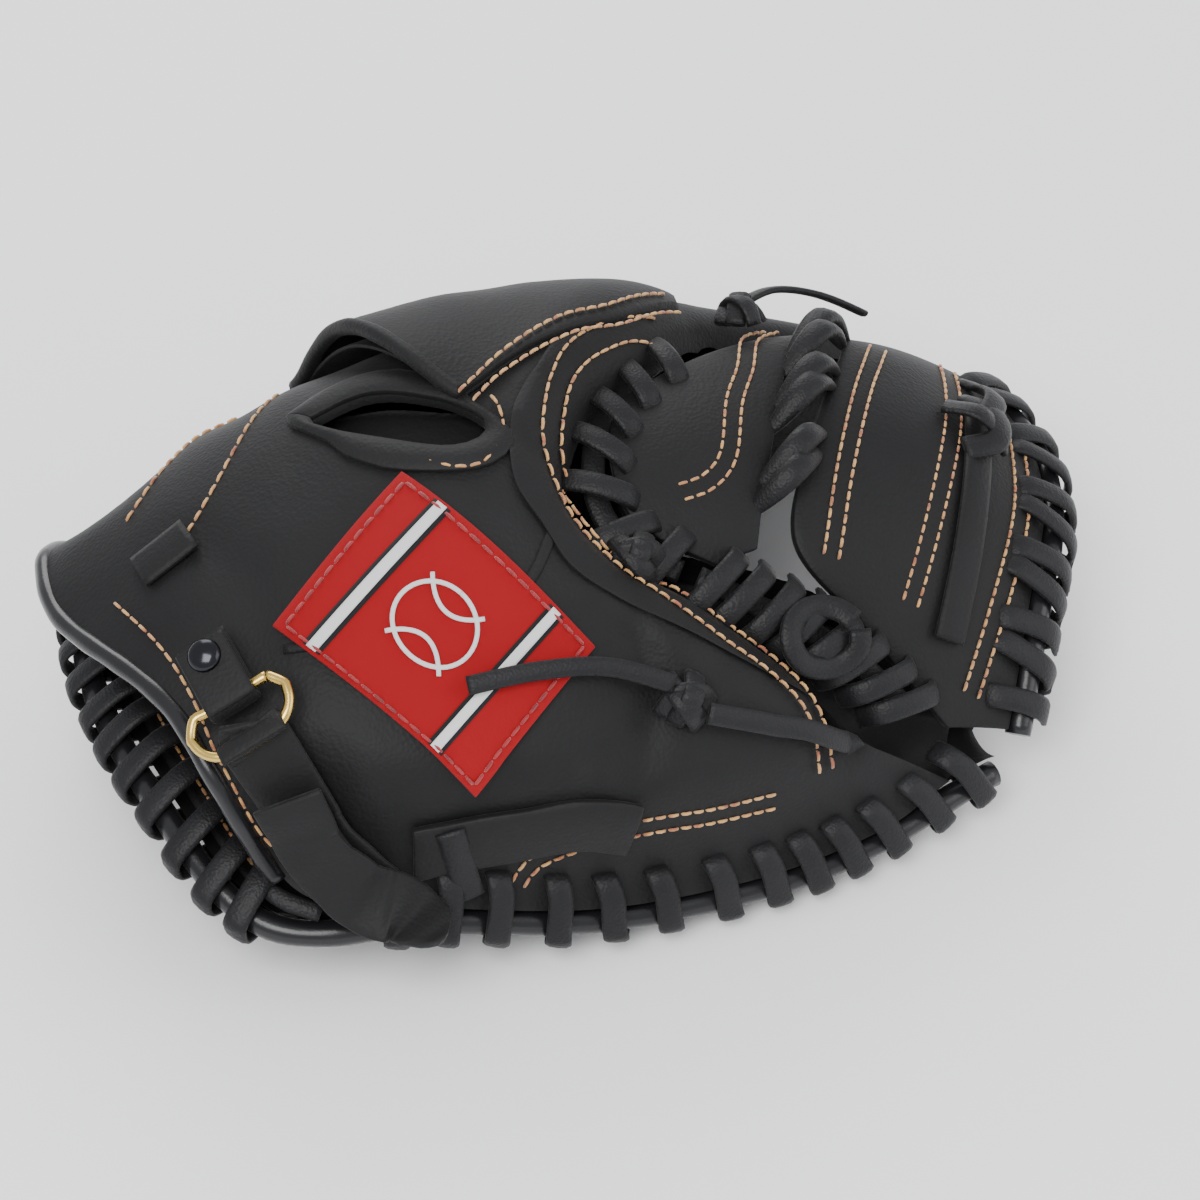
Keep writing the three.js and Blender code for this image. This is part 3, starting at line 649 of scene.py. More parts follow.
def rim_wraps(name, start, stop, count, top, nodes, slant=0.45):
    """Laces that come up through the back, cross the piping at a slant and go down through the palm."""
    paths = []
    step = (stop - start) / (count - 1)
    rough = np.random.default_rng(count)
    for k in range(count):
        t0 = start + k * step + rough.uniform(-0.06, 0.06) * step
        lean = slant * step * rough.uniform(0.85, 1.15)
        path = []

        def stop_at(share, out, n, deg):
            path.append(rim_frame(PALM_OUTER, t0 + lean * (share - 0.5), out, n, deg))

        inset = beside(PALM_OUTER, t0 - lean / 2, -WRAP_INSET)
        high = float(top(inset[0], inset[1]))
        under = beside(PALM_OUTER, t0 + lean / 2, -WRAP_INSET)
        low = -float(palm(under[0], under[1]))
        stop_at(0, -WRAP_INSET - 1.5, high - 3.5, 110)
        stop_at(0.08, -WRAP_INSET + 1, high + 1.2, 105)
        stop_at(0.25, -2.5, (high + EDGE_HALF) / 2 + 2.6, 80)
        for share, deg in ((0.38, 62), (0.47, 25), (0.53, -15), (0.62, -58)):
            turn = math.radians(deg)
            reach = WRAP_REACH + rough.uniform(0, 0.5)
            stop_at(share, PIPING_SEAT + reach * math.cos(turn), reach * math.sin(turn), deg)
        stop_at(0.78, -2.5, (low - EDGE_HALF) / 2 - 2.4, -80)
        stop_at(0.92, -WRAP_INSET + 1, low - 1.2, -100)
        stop_at(1, -WRAP_INSET - 1.5, low + 3.5, -110)
        paths.append(path)
    obj = make(name, *join_parts(lace_parts(paths, 7, 2.4)), THONG)
    bends(obj, "lace", *nodes)


def rim_laces():
    rim_wraps("finger_rim_lace", 0.35, 5.6, 20, back, ["finger_lace"])
    rim_wraps("heel_rim_lace", 6.15, 8.9, 12, lambda a, b: 1.0, ["heel_lace"])
    rim_wraps("thumb_rim_lace", 9.8, 13.75, 13, back, ["thumb_lace"], 0.75)


# ---------- Pieces laid on the leather ----------

HAND, THUMB = "hand", "thumb"
WEB_TOP = 5.2


def level(n):
    return lambda a, b: np.full(np.shape(np.asarray(a, float)), float(n))


def over(height, a, b, clear):
    return lift(a, b, height(a, b)) + slope_normal(a, b, height) * np.asarray(clear, float)[..., None]


def patch_grid(edge0, edge1, rows, columns):
    """Pattern points between two edges, each a smooth curve through its points."""
    p = through(edge0, np.linspace(0, len(edge0) - 1, rows + 1))[:, None]
    q = through(edge1, np.linspace(0, len(edge1) - 1, rows + 1))[:, None]
    grid = p + (q - p) * np.linspace(0, 1, columns + 1)[None, :, None]
    return grid[..., 0], grid[..., 1]


def arched(steps):
    """Half a sine wave, from 0 at one end to 0 at the other."""
    return np.sin(np.pi * np.linspace(0, 1, steps + 1))


def applique(name, edge0, edge1, height, clear, thick, material, rows=60, columns=14, puff=0.0, edge=0.5):
    """A leather piece laid over a height, a little thicker in its middle by puff."""
    a, b = patch_grid(edge0, edge1, rows, columns)
    crown = arched(rows)[:, None] * arched(columns)[None, :]
    low = over(height, a, b, np.full(a.shape, clear))
    high = over(height, a, b, clear + thick + puff * np.sqrt(crown))
    return softened(slab(name, high, low, material, np.stack([a, b], -1) / 100), edge)


def edges_of(line, width):
    """The two edges of a band of constant width along a pattern line."""
    line = resample(line, 3)
    d = unit(np.gradient(line, axis=0))
    side = np.stack([-d[:, 1], d[:, 0]], -1) * width / 2
    return line - side, line + side


def thong(points, height=None, clear=0.0, width=6, thick=2.2, spacing=1.5):
    """Vertices and faces of a flat lace through (a, b) over a height, or through (a, b, n)."""
    line = resample(points, spacing)
    a, b = line[:, 0], line[:, 1]
    if height is None:
        return sweep(lift(a, b, line[:, 2]), normal(a, b), section(width, thick))
    n = slope_normal(a, b, height)
    return sweep(lift(a, b, height(a, b)) + n * (clear + thick / 2), n, section(width, thick))


def laces(name, paths, nodes=(), width=6, thick=2.2, material=None):
    obj = make(name, *join_parts([thong(p, width=width, thick=thick) for p in paths]), material or THONG)
    return bends(obj, "lace", *nodes)


STITCH_PITCH = 3.4
STITCH_LENGTH = 2.7
STITCH_WIDTH = 0.95


def stitch_run(line, height, clear):
    """Capsules of thread, end to end along a pattern line."""
    ends = resample(line, STITCH_PITCH)
    parts = []
    for p, q in zip(ends[:-1], ends[1:]):
        t = 0.5 + np.array([-0.5, -0.38, 0, 0.38, 0.5]) * STITCH_LENGTH / STITCH_PITCH
        a, b = (p + (q - p) * t[:, None]).T
        n = slope_normal(a, b, height)
        at = lift(a, b, height(a, b)) + n * (clear + np.array([-0.35, 0.1, 0.25, 0.1, -0.35]))[:, None]
        scale = np.array([0.5, 0.9, 1, 0.9, 0.5])
        parts.append(sweep(at, n, section(STITCH_WIDTH, STITCH_WIDTH, 6, 2), np.stack([scale, scale], -1)))
    return parts


def seam(name, lines, height, clear=0.0, double=0.0, material=None, slot="leather"):
    """Stitching along pattern lines, as one row or as two rows set apart by double."""
    parts = []
    for line in lines:
        rows = edges_of(line, double) if double else [resample(line, 3)]
        for row in rows:
            parts += stitch_run(row, height, clear)
    return bends(make(name, *join_parts(parts), material or GOLD_THREAD), slot)


# ---------- Crotch, index opening, hood and wrist ----------

CROTCH_SEAM = [
    (36, 16), (19, 10), (4, 2), (-6, -12), (-9, -21), (-8, -33), (-2, -45), (7, -55), (19, -68), (31, -81),
    (38, -93), (39, -110),
]
HOOD_SEAM = [(-24, -5), (-12, 2), (8, 9), (24, 13), (44, 24)]
BEZEL = [(-61, 12), (-59, 4), (-49, -6), (-40, -14), (-33, -19), (-26, -20), (-20, -16), (-17, -9), (-18, -4)]
BACK_SEAMS = [
    [(-105, 10), (-98, 15), (-82, 28), (-71, 30)],
    [(-96, -4), (-89, 1), (-76, 11), (-60, 27)],
    [(-114, -8), (-108, -26), (-106, -40), (-106, -57), (-105, -75), (-96, -88)],
]
THUMB_SEAM = [(-47, -116), (-41, -111), (-24, -110), (-7, -112), (7, -114), (25, -115)]
PANEL_FOLDS = [
    [(-18, -22), (-10, -14), (2, -4)],
    [(-83, -40), (-58, -48), (-30, -48), (-14, -36)],
]


def crotch_trim():
    a, b = horseshoe(BACK_INNER, BACK_OUTER, 0.3, 13.8, 0.0, 0.105, 160, 8)
    high, low = lift(a, b, worn_back(a, b) + 1.3), lift(a, b, worn_back(a, b) - 0.4)
    trim = softened(slab("crotch_trim", high, low, NUBUCK), 0.6)
    bends(trim, "leather", "crotch_binding", "thumb_binding")
    seam("crotch_stitching", [CROTCH_SEAM], worn_back, 1.25, double=4.2)
    seam("back_stitching", BACK_SEAMS, worn_back, 0.1)
    seam("thumb_stitching", [THUMB_SEAM], worn_back, 0.1, double=4.2)
    parts = [thong(line, worn_back, -0.6, 3.2, 1.5) for line in PANEL_FOLDS]
    bends(make("panel_folds", *join_parts(parts), NUBUCK), "leather")


def index_opening():
    inner = resample(HOLE + HOLE[:1], 3)
    centre = inner.mean(0)
    out = unit(inner - centre)
    ring = inner + out * 5.5 + np.stack([0 * inner[:, 0], np.where(inner[:, 1] < centre[1], -2.2, 1.0)], -1)
    a = np.stack([inner[:, 0], ring[:, 0]], 1)
    b = np.stack([inner[:, 1], ring[:, 1]], 1)
    share = np.linspace(0, 1, 6)[None, :]
    a, b = a[:, :1] + (a[:, 1:] - a[:, :1]) * share, b[:, :1] + (b[:, 1:] - b[:, :1]) * share
    swell = 0.9 * np.sin(np.pi * share) + 1.6
    top, bottom = over(worn_back, a, b, swell + 0 * a), over(worn_back, a, b, 0 * a)
    welt = softened(slab("index_opening_welt", top, bottom, NUBUCK))
    rides(welt, HAND, "leather", "index_hole_welt")
    seam("index_opening_stitching", [BEZEL[2:]], worn_back, 1.6)
    floor_line = [(-58, 7), (-46, 1), (-34, -6), (-23, -11)]
    e0, e1 = edges_of(floor_line, 22)
    a, b = patch_grid(e0, e1, 20, 8)
    high, low = lift(a, b, back(a, b) - 9), lift(a, b, back(a, b) - 10.2)
    rides(slab("index_opening_liner", high, low, LINING), HAND, "lining")


HOOD_NEAR = [(-24, -2), (-10, 4), (8, 9), (26, 14), (46, 26)]
HOOD_FAR = [(-54, 40), (-30, 50), (0, 54), (26, 50), (52, 44)]
HOOD_RISE = 9


def hood_points(rows, columns, extra, rise=HOOD_RISE):
    a, b = patch_grid(HOOD_NEAR, HOOD_FAR, rows, columns)
    j = np.linspace(0, 1, columns + 1)[None, :]
    i = np.linspace(0, 1, rows + 1)[:, None]
    arch = np.sin(np.pi * j) ** 1.6 * (1 - i) ** 0.6
    uneven = 0.7 * fbm(np.stack([a, b, 0 * a], -1), 0.06, 4.4) * np.sin(np.pi * j)
    return a, b, back(a, b) + extra + rise * arch + uneven


def hood():
    a, b, n = hood_points(70, 40, 3.4)
    obj = softened(slab("index_hood_leather", lift(a, b, n), lift(a, b, n - 2.4), NUBUCK), 0.8)
    rides(obj, HAND, "leather", "index_hood")
    mouth = lift(a[0], b[0], n[0] - 1.4)
    rides(tube("hood_rolled_edge", mouth, 2.3, NUBUCK, 2), HAND, "leather")
    a2, b2, n2 = hood_points(40, 30, 1.2, HOOD_RISE - 4.5)
    inner = softened(slab("index_hood_lining", lift(a2, b2, n2)[:26], lift(a2, b2, n2 - 1.2)[:26], LINING), 0.4)
    rides(inner, HAND, "lining")
    top = lambda x, y: back(x, y) + 4.4
    seam("hood_stitching", [HOOD_SEAM], top, 0.0, double=4.2)


def lining_height(a, b):
    """The lining's inner face: down on the palm leather at the edges, and over the pads between them."""
    edge = np.minimum(distance_to(PALM_RIM, a, b), distance_to(PALM_CROTCH, a, b))
    return -palm(a, b) + 3.4 + 13 * smoothstep(edge - 2, 26)


def wrist():
    t = np.linspace(5.7, 8.9, 70)
    q = beside(BACK_OUTER, t, 1.2)
    a, b = q[:, 0], q[:, 1]
    roll = tube("wrist_roll", lift(a, b, back(a, b) - LEATHER / 2), 2.7, GLOSSY, 2)
    rides(roll, HAND, "piping", "wrist_binding")
    a, b = horseshoe(PALM_INNER, PALM_OUTER, 0.3, 13.7, 0.06, 0.985, 150, 40)
    n = lining_height(a, b)
    obj = slab("hand_lining_leather", lift(a, b, n), lift(a, b, n - 1.2), LINING)
    bends(obj, "lining", "hand_lining", "thumb_lining")
    heel = beside(PALM_OUTER, np.linspace(6.3, 8.9, 30), -7)
    seam("heel_stitching", [heel], lining_height, 0.1, double=3.8, slot="lining")


FELT = leather("pad_felt", (0.05, 0.047, 0.042), (0.09, 0.085, 0.078), (0.9, 1.0), grain=500, sheen=0.4)
PADS = [
    ("finger_pad", HAND, (0.4, 5), (0.22, 0.84)),
    ("palm_pad", HAND, (5.2, 9.85), (0.16, 0.66)),
    ("heel_pad", HAND, (5.5, 9.6), (0.7, 0.86)),
    ("thumb_pad", THUMB, (10.15, 13.3), (0.24, 0.82)),
]


def pads():
    """The padding between palm and lining: crowned closed forms, thinnest at their edges."""
    for node, body, pairs, shares in PADS:
        a, b = horseshoe(PALM_INNER, PALM_OUTER, *pairs, *shares, 40, 12)
        crown = np.maximum(0, arched(40)[:, None] * arched(12)[None, :]) ** 0.35
        edge = np.minimum(distance_to(PALM_RIM, a, b), distance_to(PALM_CROTCH, a, b))
        room = 13 * smoothstep(edge - 2, 26) - 1.6
        low = lift(a, b, 3.1 - palm(a, b))
        high = lift(a, b, 3.1 - palm(a, b) + np.maximum(0.5, room * (0.25 + 0.75 * crown)))
        pad = softened(slab(node + "_felt", high, low, FELT), 0.3)
        rides(pad, body, "felt", node)


# ---------- Web ----------

INNER_WEB_LEFT = [(18, 0), (9, -15), (7, -33), (13, -43), (26, -53)]
INNER_WEB_RIGHT = [(80, 24), (65, 0), (51, -25), (43, -40), (38, -51)]
OUTER_WEB_LEFT = [(94, 22), (78, -2), (61, -26), (49, -51), (62, -75), (80, -104)]
OUTER_WEB_RIM = [(131, 24), (136, -8), (129, -34), (117, -58), (109, -76), (98, -104)]
WEB_SEAMS = [
    [(98, 13), (84, -8), (68, -34), (57, -56)],
    [(120, 15), (108, -14), (90, -46), (76, -70)],
    [(129, -12), (119, -38), (104, -66), (88, -95)],
]
GAP_LACES = [(79, 11), (67, -9), (54, -31)]
GAP_HALF = (12.5, 7.5)
STRAP = [(117, -8), (106, -33), (95, -57), (84, -80)]


def web():
    top = level(WEB_TOP)
    for name, left, right in (
        ("web_inner", INNER_WEB_LEFT, INNER_WEB_RIGHT),
        ("web_outer", OUTER_WEB_LEFT, OUTER_WEB_RIM),
    ):
        obj = applique(name + "_leather", left, right, level(2.2), 0, 3, NUBUCK, 70, 26, puff=1.2)
        bends(obj, "leather", name + "_panel")
    inner_seam = [(72, 24), (62, 16), (54, 2), (46, -10), (38, -26), (30, -32), (22, -33)]
    seam("web_inner_stitching", [inner_seam], top, 0.9, double=4.2)
    seam("web_outer_stitching", WEB_SEAMS, top, 0.9, double=4.2)
    parts = []
    for a, b in GAP_LACES:
        for side in (-1, 1):
            run = resample([
                (a + side * 1.8 - GAP_HALF[0], b + side * 2.9 - GAP_HALF[1], 3.5),
                (a + side * 2.2, b + side * 3.4, 13.0),
                (a + side * 1.8 + GAP_HALF[0], b + side * 2.9 + GAP_HALF[1], 3.5),
            ], 1.2)
            wide = np.sin(np.pi * np.linspace(0.06, 0.94, len(run))) ** 0.6
            at = lift(run[:, 0], run[:, 1], run[:, 2])
            up = normal(run[:, 0], run[:, 1])
            parts.append(sweep(at, up, section(7.4, 4.2, 12), np.stack([wide, wide], -1)))
    gap_nodes = ["web_gap_lace_%d" % k for k in (1, 2, 3)]
    bends(make("web_gap_laces", *join_parts(parts), THONG), "lace", *gap_nodes)
    strap = make("web_strap_leather", *thong(STRAP, top, 1.4, 9.5, 2.6), NUBUCK)
    bends(strap, "leather", "web_strap")
    knot_paths = [
        [(113, -6, 8), (116, -14, 13), (112, -24, 13), (105, -26, 8)],
        [(105, -12, 8), (110, -18, 14), (118, -22, 9)],
        [(112, -18, 12), (119, -8, 13), (123, 2, 9), (121, 8, 6)],
    ]
    laces("web_strap_knot", knot_paths, width=7.5, thick=2.6)
    q = np.array(resample(OUTER_WEB_RIM, 3))
    rim = tube("web_rim_cord", lift(q[:, 0] + 3.2, q[:, 1] - 1, np.full(len(q), 3.7)), PIPING_RADIUS, GLOSSY)
    bends(rim, "piping", "web_rim_piping")
    web_wraps(q)


# A turn of lace round the web's rim: distance past the rim, height, and share of the lean.
RIM_TURN = [
    (-8, 2.8, -1), (-6.5, 6.6, -0.8), (0, 8.6, -0.3), (5.5, 8.2, 0), (9.4, 4, 0.2),
    (8.6, -1.6, 0.5), (3, -3.4, 0.8), (-5, -1.6, 1),
]


def web_wraps(rim):
    """Laces round the web's outer rim, leaning to one side and the other."""
    paths = []
    stops = np.linspace(0.06, 0.93, 11)
    line = resample(rim, 1)
    d = unit(np.gradient(line, axis=0))
    for k, share in enumerate(stops):
        i = int(share * (len(line) - 1))
        p, ahead = line[i], d[i]
        out = np.array([-ahead[1], ahead[0]])
        if out[0] < 0:
            out = -out
        lean = ahead * (3.0 if k % 2 else -3.0)
        paths.append([(*(p + out * x + lean * y), n) for x, n, y in RIM_TURN])
    laces("web_rim_wraps", paths, width=7, thick=2.4)


CROTCH_CORE = [(38, 15), (20, 3), (9, -8), (2, -22), (1, -34), (6, -44), (17, -53)]
THUMB_CORE = [(20, -55), (33, -65), (47, -75), (60, -87), (70, -100)]
LOOP_AT = (47, -76)


def crotch_laces():
    """The lace that ties the web to the crotch: a core along the edge with turns over it."""
    for name, node, line, count, high in (
        ("crotch_turns", "crotch_lace", CROTCH_CORE, 7, 6.5),
        ("thumb_crotch_turns", "thumb_crotch_lace", THUMB_CORE, 8, 8.5),
    ):
        run = resample(line, 1)
        d = unit(np.gradient(run, axis=0))
        paths = [[(*p, high - 2.5) for p in run[::6]]]
        for k in range(count):
            i = int((k + 0.5) / count * (len(run) - 1))
            side = np.array([-d[i][1], d[i][0]])
            lean = d[i] * 4.5
            steps = [(-11, 3.5), (-7.5, high + 1.5), (0, high + 3.2), (7.5, high + 1.5), (11, 3.5)]
            paths.append([(*(run[i] + side * x + lean * x / 11), n) for x, n in steps])
        laces(name, paths, [node], width=6.6, thick=2.4)
    ring = [
        (LOOP_AT[0] + 9.5 * math.cos(t), LOOP_AT[1] + 8 * math.sin(t), 13 + 1.5 * math.cos(2 * t))
        for t in np.linspace(0.4, 6.4, 12)
    ]
    laces("crotch_loop", [ring], width=6.4, thick=2.6)


# ---------- Knots and free lace ends ----------


# The turns of an overhand knot: across and along in shares of its size, and height.
KNOT_TURNS = [
    [(-1, -0.3, -3), (-0.4, 0.3, 1.5), (0.5, 0.2, 2), (1, -0.4, -3)],
    [(-0.5, 1, -3), (-0.3, 0.2, 3), (0.1, -0.6, 2.5), (0.4, -1, -3)],
    [(0.7, 0.8, -3), (0.1, 0.1, 4.2), (-0.6, -0.7, -3)],
]


def knot(name, a, b, high, size=6.5):
    """An overhand knot in flat lace: two crossed turns under a short one."""
    paths = [[(a + size * x, b + size * y, high + n) for x, y, n in turn] for turn in KNOT_TURNS]
    return laces(name, paths, width=6, thick=2.4)


LABEL_TAIL = [(1, -77), (-14, -69), (-31, -65), (-48, -63)]
THUMB_TIE = [(8, -86), (30, -96), (47, -107)]
WEB_TAIL = [(62, 22, 15), (72, 24, 18), (84, 25, 17), (98, 25, 13)]


def free_end(name, node, body, line, height, clear, width=6.0):
    """A free end of lace, swept along its own line."""
    run = resample(line, 1.5)
    a, b = run[:, 0], run[:, 1]
    n = normal(a, b) if height is None else slope_normal(a, b, height)
    at = lift(a, b, run[:, 2]) if height is None else lift(a, b, height(a, b)) + n * clear
    obj = make(name, *sweep(at, n, section(width, 2.1)), THONG)
    rides(obj, body, "lace", node)


def tails():
    knot("crotch_knot", 4, -47, 12)
    knot("thumb_knot", 4, -82, 25)
    knot("web_knot", 61, 21, 13, 5)
    free_end("label_lace_end", "label_tail", HAND, LABEL_TAIL, back, 5.4, 5.2)
    free_end("thumb_lace_end", "thumb_tie", THUMB, THUMB_TIE, back, 6.0)
    free_end("web_lace_end", "web_tail", HAND, WEB_TAIL, None, 0, 5.4)
    rim_end = [(-112, -80, 2), (-106, -90, 3), (-98, -98, 3)]
    laces("wrist_lace_end", [rim_end], width=5)
    tie = [(-62, -92), (-61, -100), (-60, -112)]
    bends(make("thumb_band_tie", *thong(tie, back, 2.0, 8, 2.2), THONG), "lace")


# ---------- Label, thumb band and strap ----------

LABEL_NEAR = [(-83, -35), (-68, -61), (-54, -87)]
LABEL_FAR = [(-44, -16), (-29, -40), (-15, -64)]
STRIPE_THICK = 0.35
STRIPE_STARTS = (0.16, 0.74)
STRIPE_SLANT = 0.04


def label_point(u, v):
    """A pattern point of the label: u across it from the near edge, v along it, both from 0 to 1."""
    p, q = through(LABEL_NEAR, np.multiply(v, 2)), through(LABEL_FAR, np.multiply(v, 2))
    return p + (q - p) * np.asarray(u, float)[..., None]


def label_bar(name, v0, v1, material, clear, slant):
    """A stripe across the label, from v0 to v1 along it."""
    u = np.linspace(0.02, 0.98, 41)[:, None]
    v = np.linspace(0, 1, 5)[None, :]
    q = label_point(u + 0 * v, v0 + (v1 - v0) * v + slant * (u - 0.5))
    a, b = q[..., 0], q[..., 1]
    low, high = (over(back, a, b, np.full(a.shape, c)) for c in (clear, clear + STRIPE_THICK))
    rides(slab(name, high, low, material), HAND, "patch")


def label():
    base = applique("label_cloth", LABEL_NEAR, LABEL_FAR, back, 0.8, 1.5, RED_CLOTH, 50, 40, edge=0.3)
    rides(base, HAND, "patch", "label_patch")
    for k, v0 in enumerate(STRIPE_STARTS):
        label_bar("label_black_%d" % k, v0 - 0.012, v0 + 0.062, BLACK_CLOTH, 2.3, STRIPE_SLANT)
        label_bar("label_white_%d" % k, v0 + 0.004, v0 + 0.046, WHITE_CLOTH, 2.6, STRIPE_SLANT)
    t = np.linspace(0, 2 * np.pi, 49)
    ball = label_point(0.5 + 0.2 * np.cos(t), 0.46 + 0.165 * np.sin(t))
    arcs = [ball]
    for side in (-1, 1):
        s = np.linspace(-0.98, 0.98, 20)
        arcs.append(label_point(0.5 + side * (0.19 - 0.11 * (1 - s * s)), 0.46 + 0.13 * s))
    parts = []
    for line in arcs:
        a, b = line[:, 0], line[:, 1]
        n = slope_normal(a, b, back)
        parts.append(sweep(lift(a, b, back(a, b)) + n * 2.6, n, section(1.3, 1.0, 8)))
    rides(make("label_ball_emblem", *join_parts(parts), WHITE_CLOTH), HAND, "patch")
    near, far = 0.04, 0.96
    corners = [label_point(u, v) for u, v in ((near, near), (far, near), (far, far), (near, far), (near, near))]
    parts = []
    for p, q in zip(corners[:-1], corners[1:]):
        parts += stitch_run([p, (p + q) / 2, q], back, 2.5)
    rides(make("label_border", *join_parts(parts), RED_THREAD), HAND, "patch")


def thumb_band():
    line = [(-72, -95), (-58, -98), (-44, -101), (-28, -104), (-15, -110)]
    near, far = edges_of(line, 13)
    obj = applique("thumb_band_leather", near, far, worn_back, 0.6, 2.4, NUBUCK, 50, 10, puff=0.8)
    bends(obj, "leather", "thumb_band")


WIRE = 1.4
RING_AT = (-97, -47)
RING_HALF, RING_SHOULDER, RING_DEPTH = 14, 4, 14
STRAP_WIDTH = 19
BAND = 2.2
WRAP = WIRE + 0.5 + BAND / 2
ring_n = float(back(*RING_AT)) + 8
ring_origin = lift(*RING_AT, ring_n)
ring_up = normal(*RING_AT)
ring_across = middle(RING_AT[0] + 4, RING_AT[1] - 20) - middle(*RING_AT)
ring_across = unit(ring_across - ring_up * (ring_across @ ring_up))
ring_bar = np.cross(ring_across, ring_up)


def in_ring(x, y, z):
    return ring_origin + ring_bar * x + ring_across * y + ring_up * z


def facing(deg):
    return ring_across * math.cos(math.radians(deg)) + ring_up * math.sin(math.radians(deg))


def band_round(name, run, width, body, node, spacing=1.2, tip=None):
    """A leather band along (point, normal) pairs, narrowed by tip where it is given."""
    points, normals = framed(run, spacing)
    scale = None
    if tip is not None:
        share = np.linspace(0, 1, len(points))
        scale = np.stack([tip(share), np.ones_like(share)], -1)
    obj = make(name, *sweep(points, normals, section(width, BAND, 20, 5), scale), NUBUCK)
    return rides(obj, body, "leather", node)


def fold_round(y, *angles):
    return [(in_ring(0, y, 0) + facing(deg) * WRAP, facing(deg)) for deg in angles]


def along(line, t, extra):
    a, b = through(line, t)
    up = slope_normal(a, b, back)
    return lift(a, b, back(a, b)) + up * extra, up


RIVET_DOME = [(0, 4.5), (0.8, 4.4), (1.6, 3.6), (2.2, 2.2), (2.45, 0.4)]
RIVET_SIDES = 32


def rivet_cap():
    """A low dome on the tab, from its profile of height and radius."""
    m = RIVET_SIDES
    points, faces = [], []
    for k, (z, r) in enumerate(RIVET_DOME):
        for t in np.linspace(0, 2 * np.pi, m + 1)[:-1]:
            points.append(in_ring(r * math.cos(t), -12 + r * math.sin(t), WRAP + 1.1 + z))
        if k:
            for c in range(m):
                low, after = (k - 1) * m, (c + 1) % m
                faces.append((low + c, low + after, low + m + after, low + m + c))
    faces.append(tuple(range(m))[::-1])
    faces.append(tuple((len(RIVET_DOME) - 1) * m + c for c in range(m)))
    rivet = make("tab_rivet_cap", np.array(points), faces, BLACK_METAL)
    outward(rivet)
    rides(rivet, HAND, "steel", "tab_rivet")


def ring_and_strap():
    line = [in_ring(x, 0, 0) for x in np.linspace(-(RING_HALF - 3), RING_HALF - 3, 8)]
    for angle in np.linspace(0, np.pi, 33):
        c, s = math.cos(angle), math.sin(angle)
        x = math.copysign(abs(c) ** 0.8, c) * RING_HALF
        line.append(in_ring(x, RING_SHOULDER + (RING_DEPTH - RING_SHOULDER) * abs(s) ** 0.8, 0))
    line.append(line[0])
    wire = tube("d_ring_wire", line, WIRE, BRASS, 1.0, 16)
    rides(wire, HAND, "brass", "d_ring")
    tab = [(in_ring(0, -19, -WRAP), facing(-90)), *fold_round(0, -90, -45, 0, 45, 90)]
    tab.append((in_ring(0, -16, WRAP), facing(90)))
    band_round("ring_tab_leather", tab, 14, HAND, "ring_tab")
    rivet_cap()
    low = [(-84, -100), (-89, -86), (-93, -71)]
    run = [(p, -n) for p, n in (along(low, t, 5) for t in (0, 0.4, 0.8, 1.2, 1.6, 1.9))]
    run += [*fold_round(RING_DEPTH, -90, -135, 180, 135, 90), (in_ring(0, RING_DEPTH + 2, WRAP), facing(90))]
    band_round("pull_strap_leather", run, STRAP_WIDTH, HAND, "pull_strap")
    tail = [(-93.4, -66), (-88, -90), (-81, -109), (-77, -124)]
    run = [along(tail, k / 6, 11 + max(0, 1.2 - 0.2 * k) + 0.25 * math.sin(k * 2.1)) for k in range(19)]
    band_round("strap_tail_leather", run, STRAP_WIDTH, "strap_end", "strap_tail", 1.0,
               tip=lambda share: np.clip((1 - share) * 11, 0.02, 1) ** 0.5)


def keep_cad(names, material):
    """CAD pieces whose shape is right, in a better material."""
    for name in names:
        bpy.data.objects[name].material_slots[0].material = material


def small_tabs():
    parts = [thong([(-106, -6), (-98, -5), (-92, -4)], back, 0.4, 12, 2.4)]
    bends(make("wrist_tab", *join_parts(parts), NUBUCK), "leather")


back_shell()
palm_shell()
piping()
rim_laces()
crotch_trim()
index_opening()
hood()
wrist()
pads()
web()
crotch_laces()
tails()
label()
thumb_band()
ring_and_strap()
small_tabs()
keep_cad(["stall_wall_1", "stall_wall_2", "hook_pad"], LINING)

# ---------- Floor, lights and camera ----------


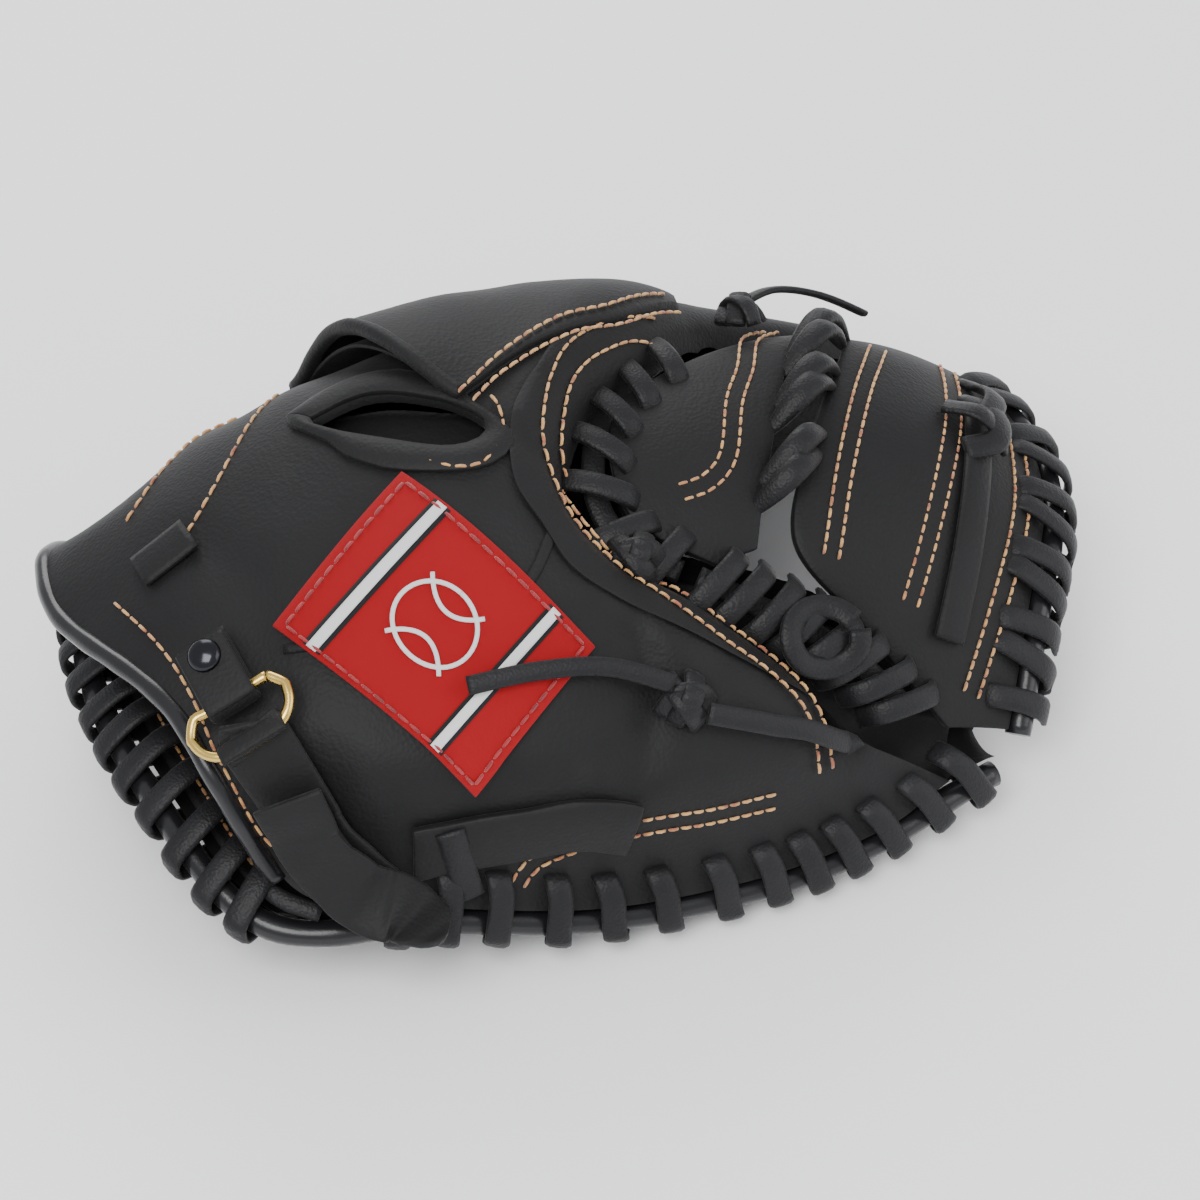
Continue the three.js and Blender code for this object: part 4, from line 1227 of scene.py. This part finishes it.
def studio():
    world = bpy.data.worlds.new("studio")
    bpy.context.scene.world = world
    world.use_nodes = True
    world.node_tree.nodes["Background"].inputs["Color"].default_value = (0.95, 0.96, 1, 1)
    world.node_tree.nodes["Background"].inputs["Strength"].default_value = 0.95
    material = bpy.data.materials.new("floor")
    tree, shader = nodes_of(material)
    cloud = tree.nodes.new("ShaderNodeTexNoise")
    cloud.inputs["Scale"].default_value = 3
    tone = tree.nodes.new("ShaderNodeMixRGB")
    tone.inputs["Color1"].default_value = (0.93, 0.93, 0.93, 1)
    tone.inputs["Color2"].default_value = (0.96, 0.96, 0.96, 1)
    tree.links.new(cloud.outputs["Fac"], tone.inputs["Fac"])
    tree.links.new(tone.outputs["Color"], shader.inputs["Base Color"])
    shader.inputs["Roughness"].default_value = 0.8
    bpy.ops.mesh.primitive_plane_add(size=12, location=(0, 0, 0))
    floor = bpy.context.object
    floor.name = "floor"
    floor.data.materials.append(material)
    lamps = [
        ("key", (-0.7, -0.9, 1.5), 1.0, 32),
        ("fill", (1.3, -0.8, 0.9), 1.2, 11),
        ("rim", (0.2, 1.4, 1.0), 1.0, 16),
    ]
    for name, at, size, watts in lamps:
        lamp = bpy.data.lights.new(name, "AREA")
        lamp.size, lamp.energy = size, watts
        obj = bpy.data.objects.new(name, lamp)
        obj.location = at
        obj.rotation_euler = (Vector((0, 0, 0.05)) - Vector(at)).to_track_quat("-Z", "Y").to_euler()
        bpy.context.scene.collection.objects.link(obj)


AZIMUTH, ELEVATION, DISTANCE, LENS = -20, 45, 1.1, 117.15
AIM = Vector((0.00925, 0.0257, 0.035))
AIM_RIGHT, AIM_UP = 0.00225, -0.00704


def camera():
    az, el = math.radians(AZIMUTH), math.radians(ELEVATION)
    away = Vector((math.sin(az) * math.cos(el), -math.cos(az) * math.cos(el), math.sin(el)))
    right = Vector((math.cos(az), math.sin(az), 0))
    up = away.cross(right)
    data = bpy.data.cameras.new("camera")
    data.lens, data.sensor_width = LENS, 36
    obj = bpy.data.objects.new("camera", data)
    aim = AIM + AIM_RIGHT * right + AIM_UP * up
    obj.location = aim + DISTANCE * away
    obj.rotation_euler = Matrix((right, up, away)).transposed().to_euler()
    bpy.context.scene.collection.objects.link(obj)
    bpy.context.scene.camera = obj


studio()
camera()
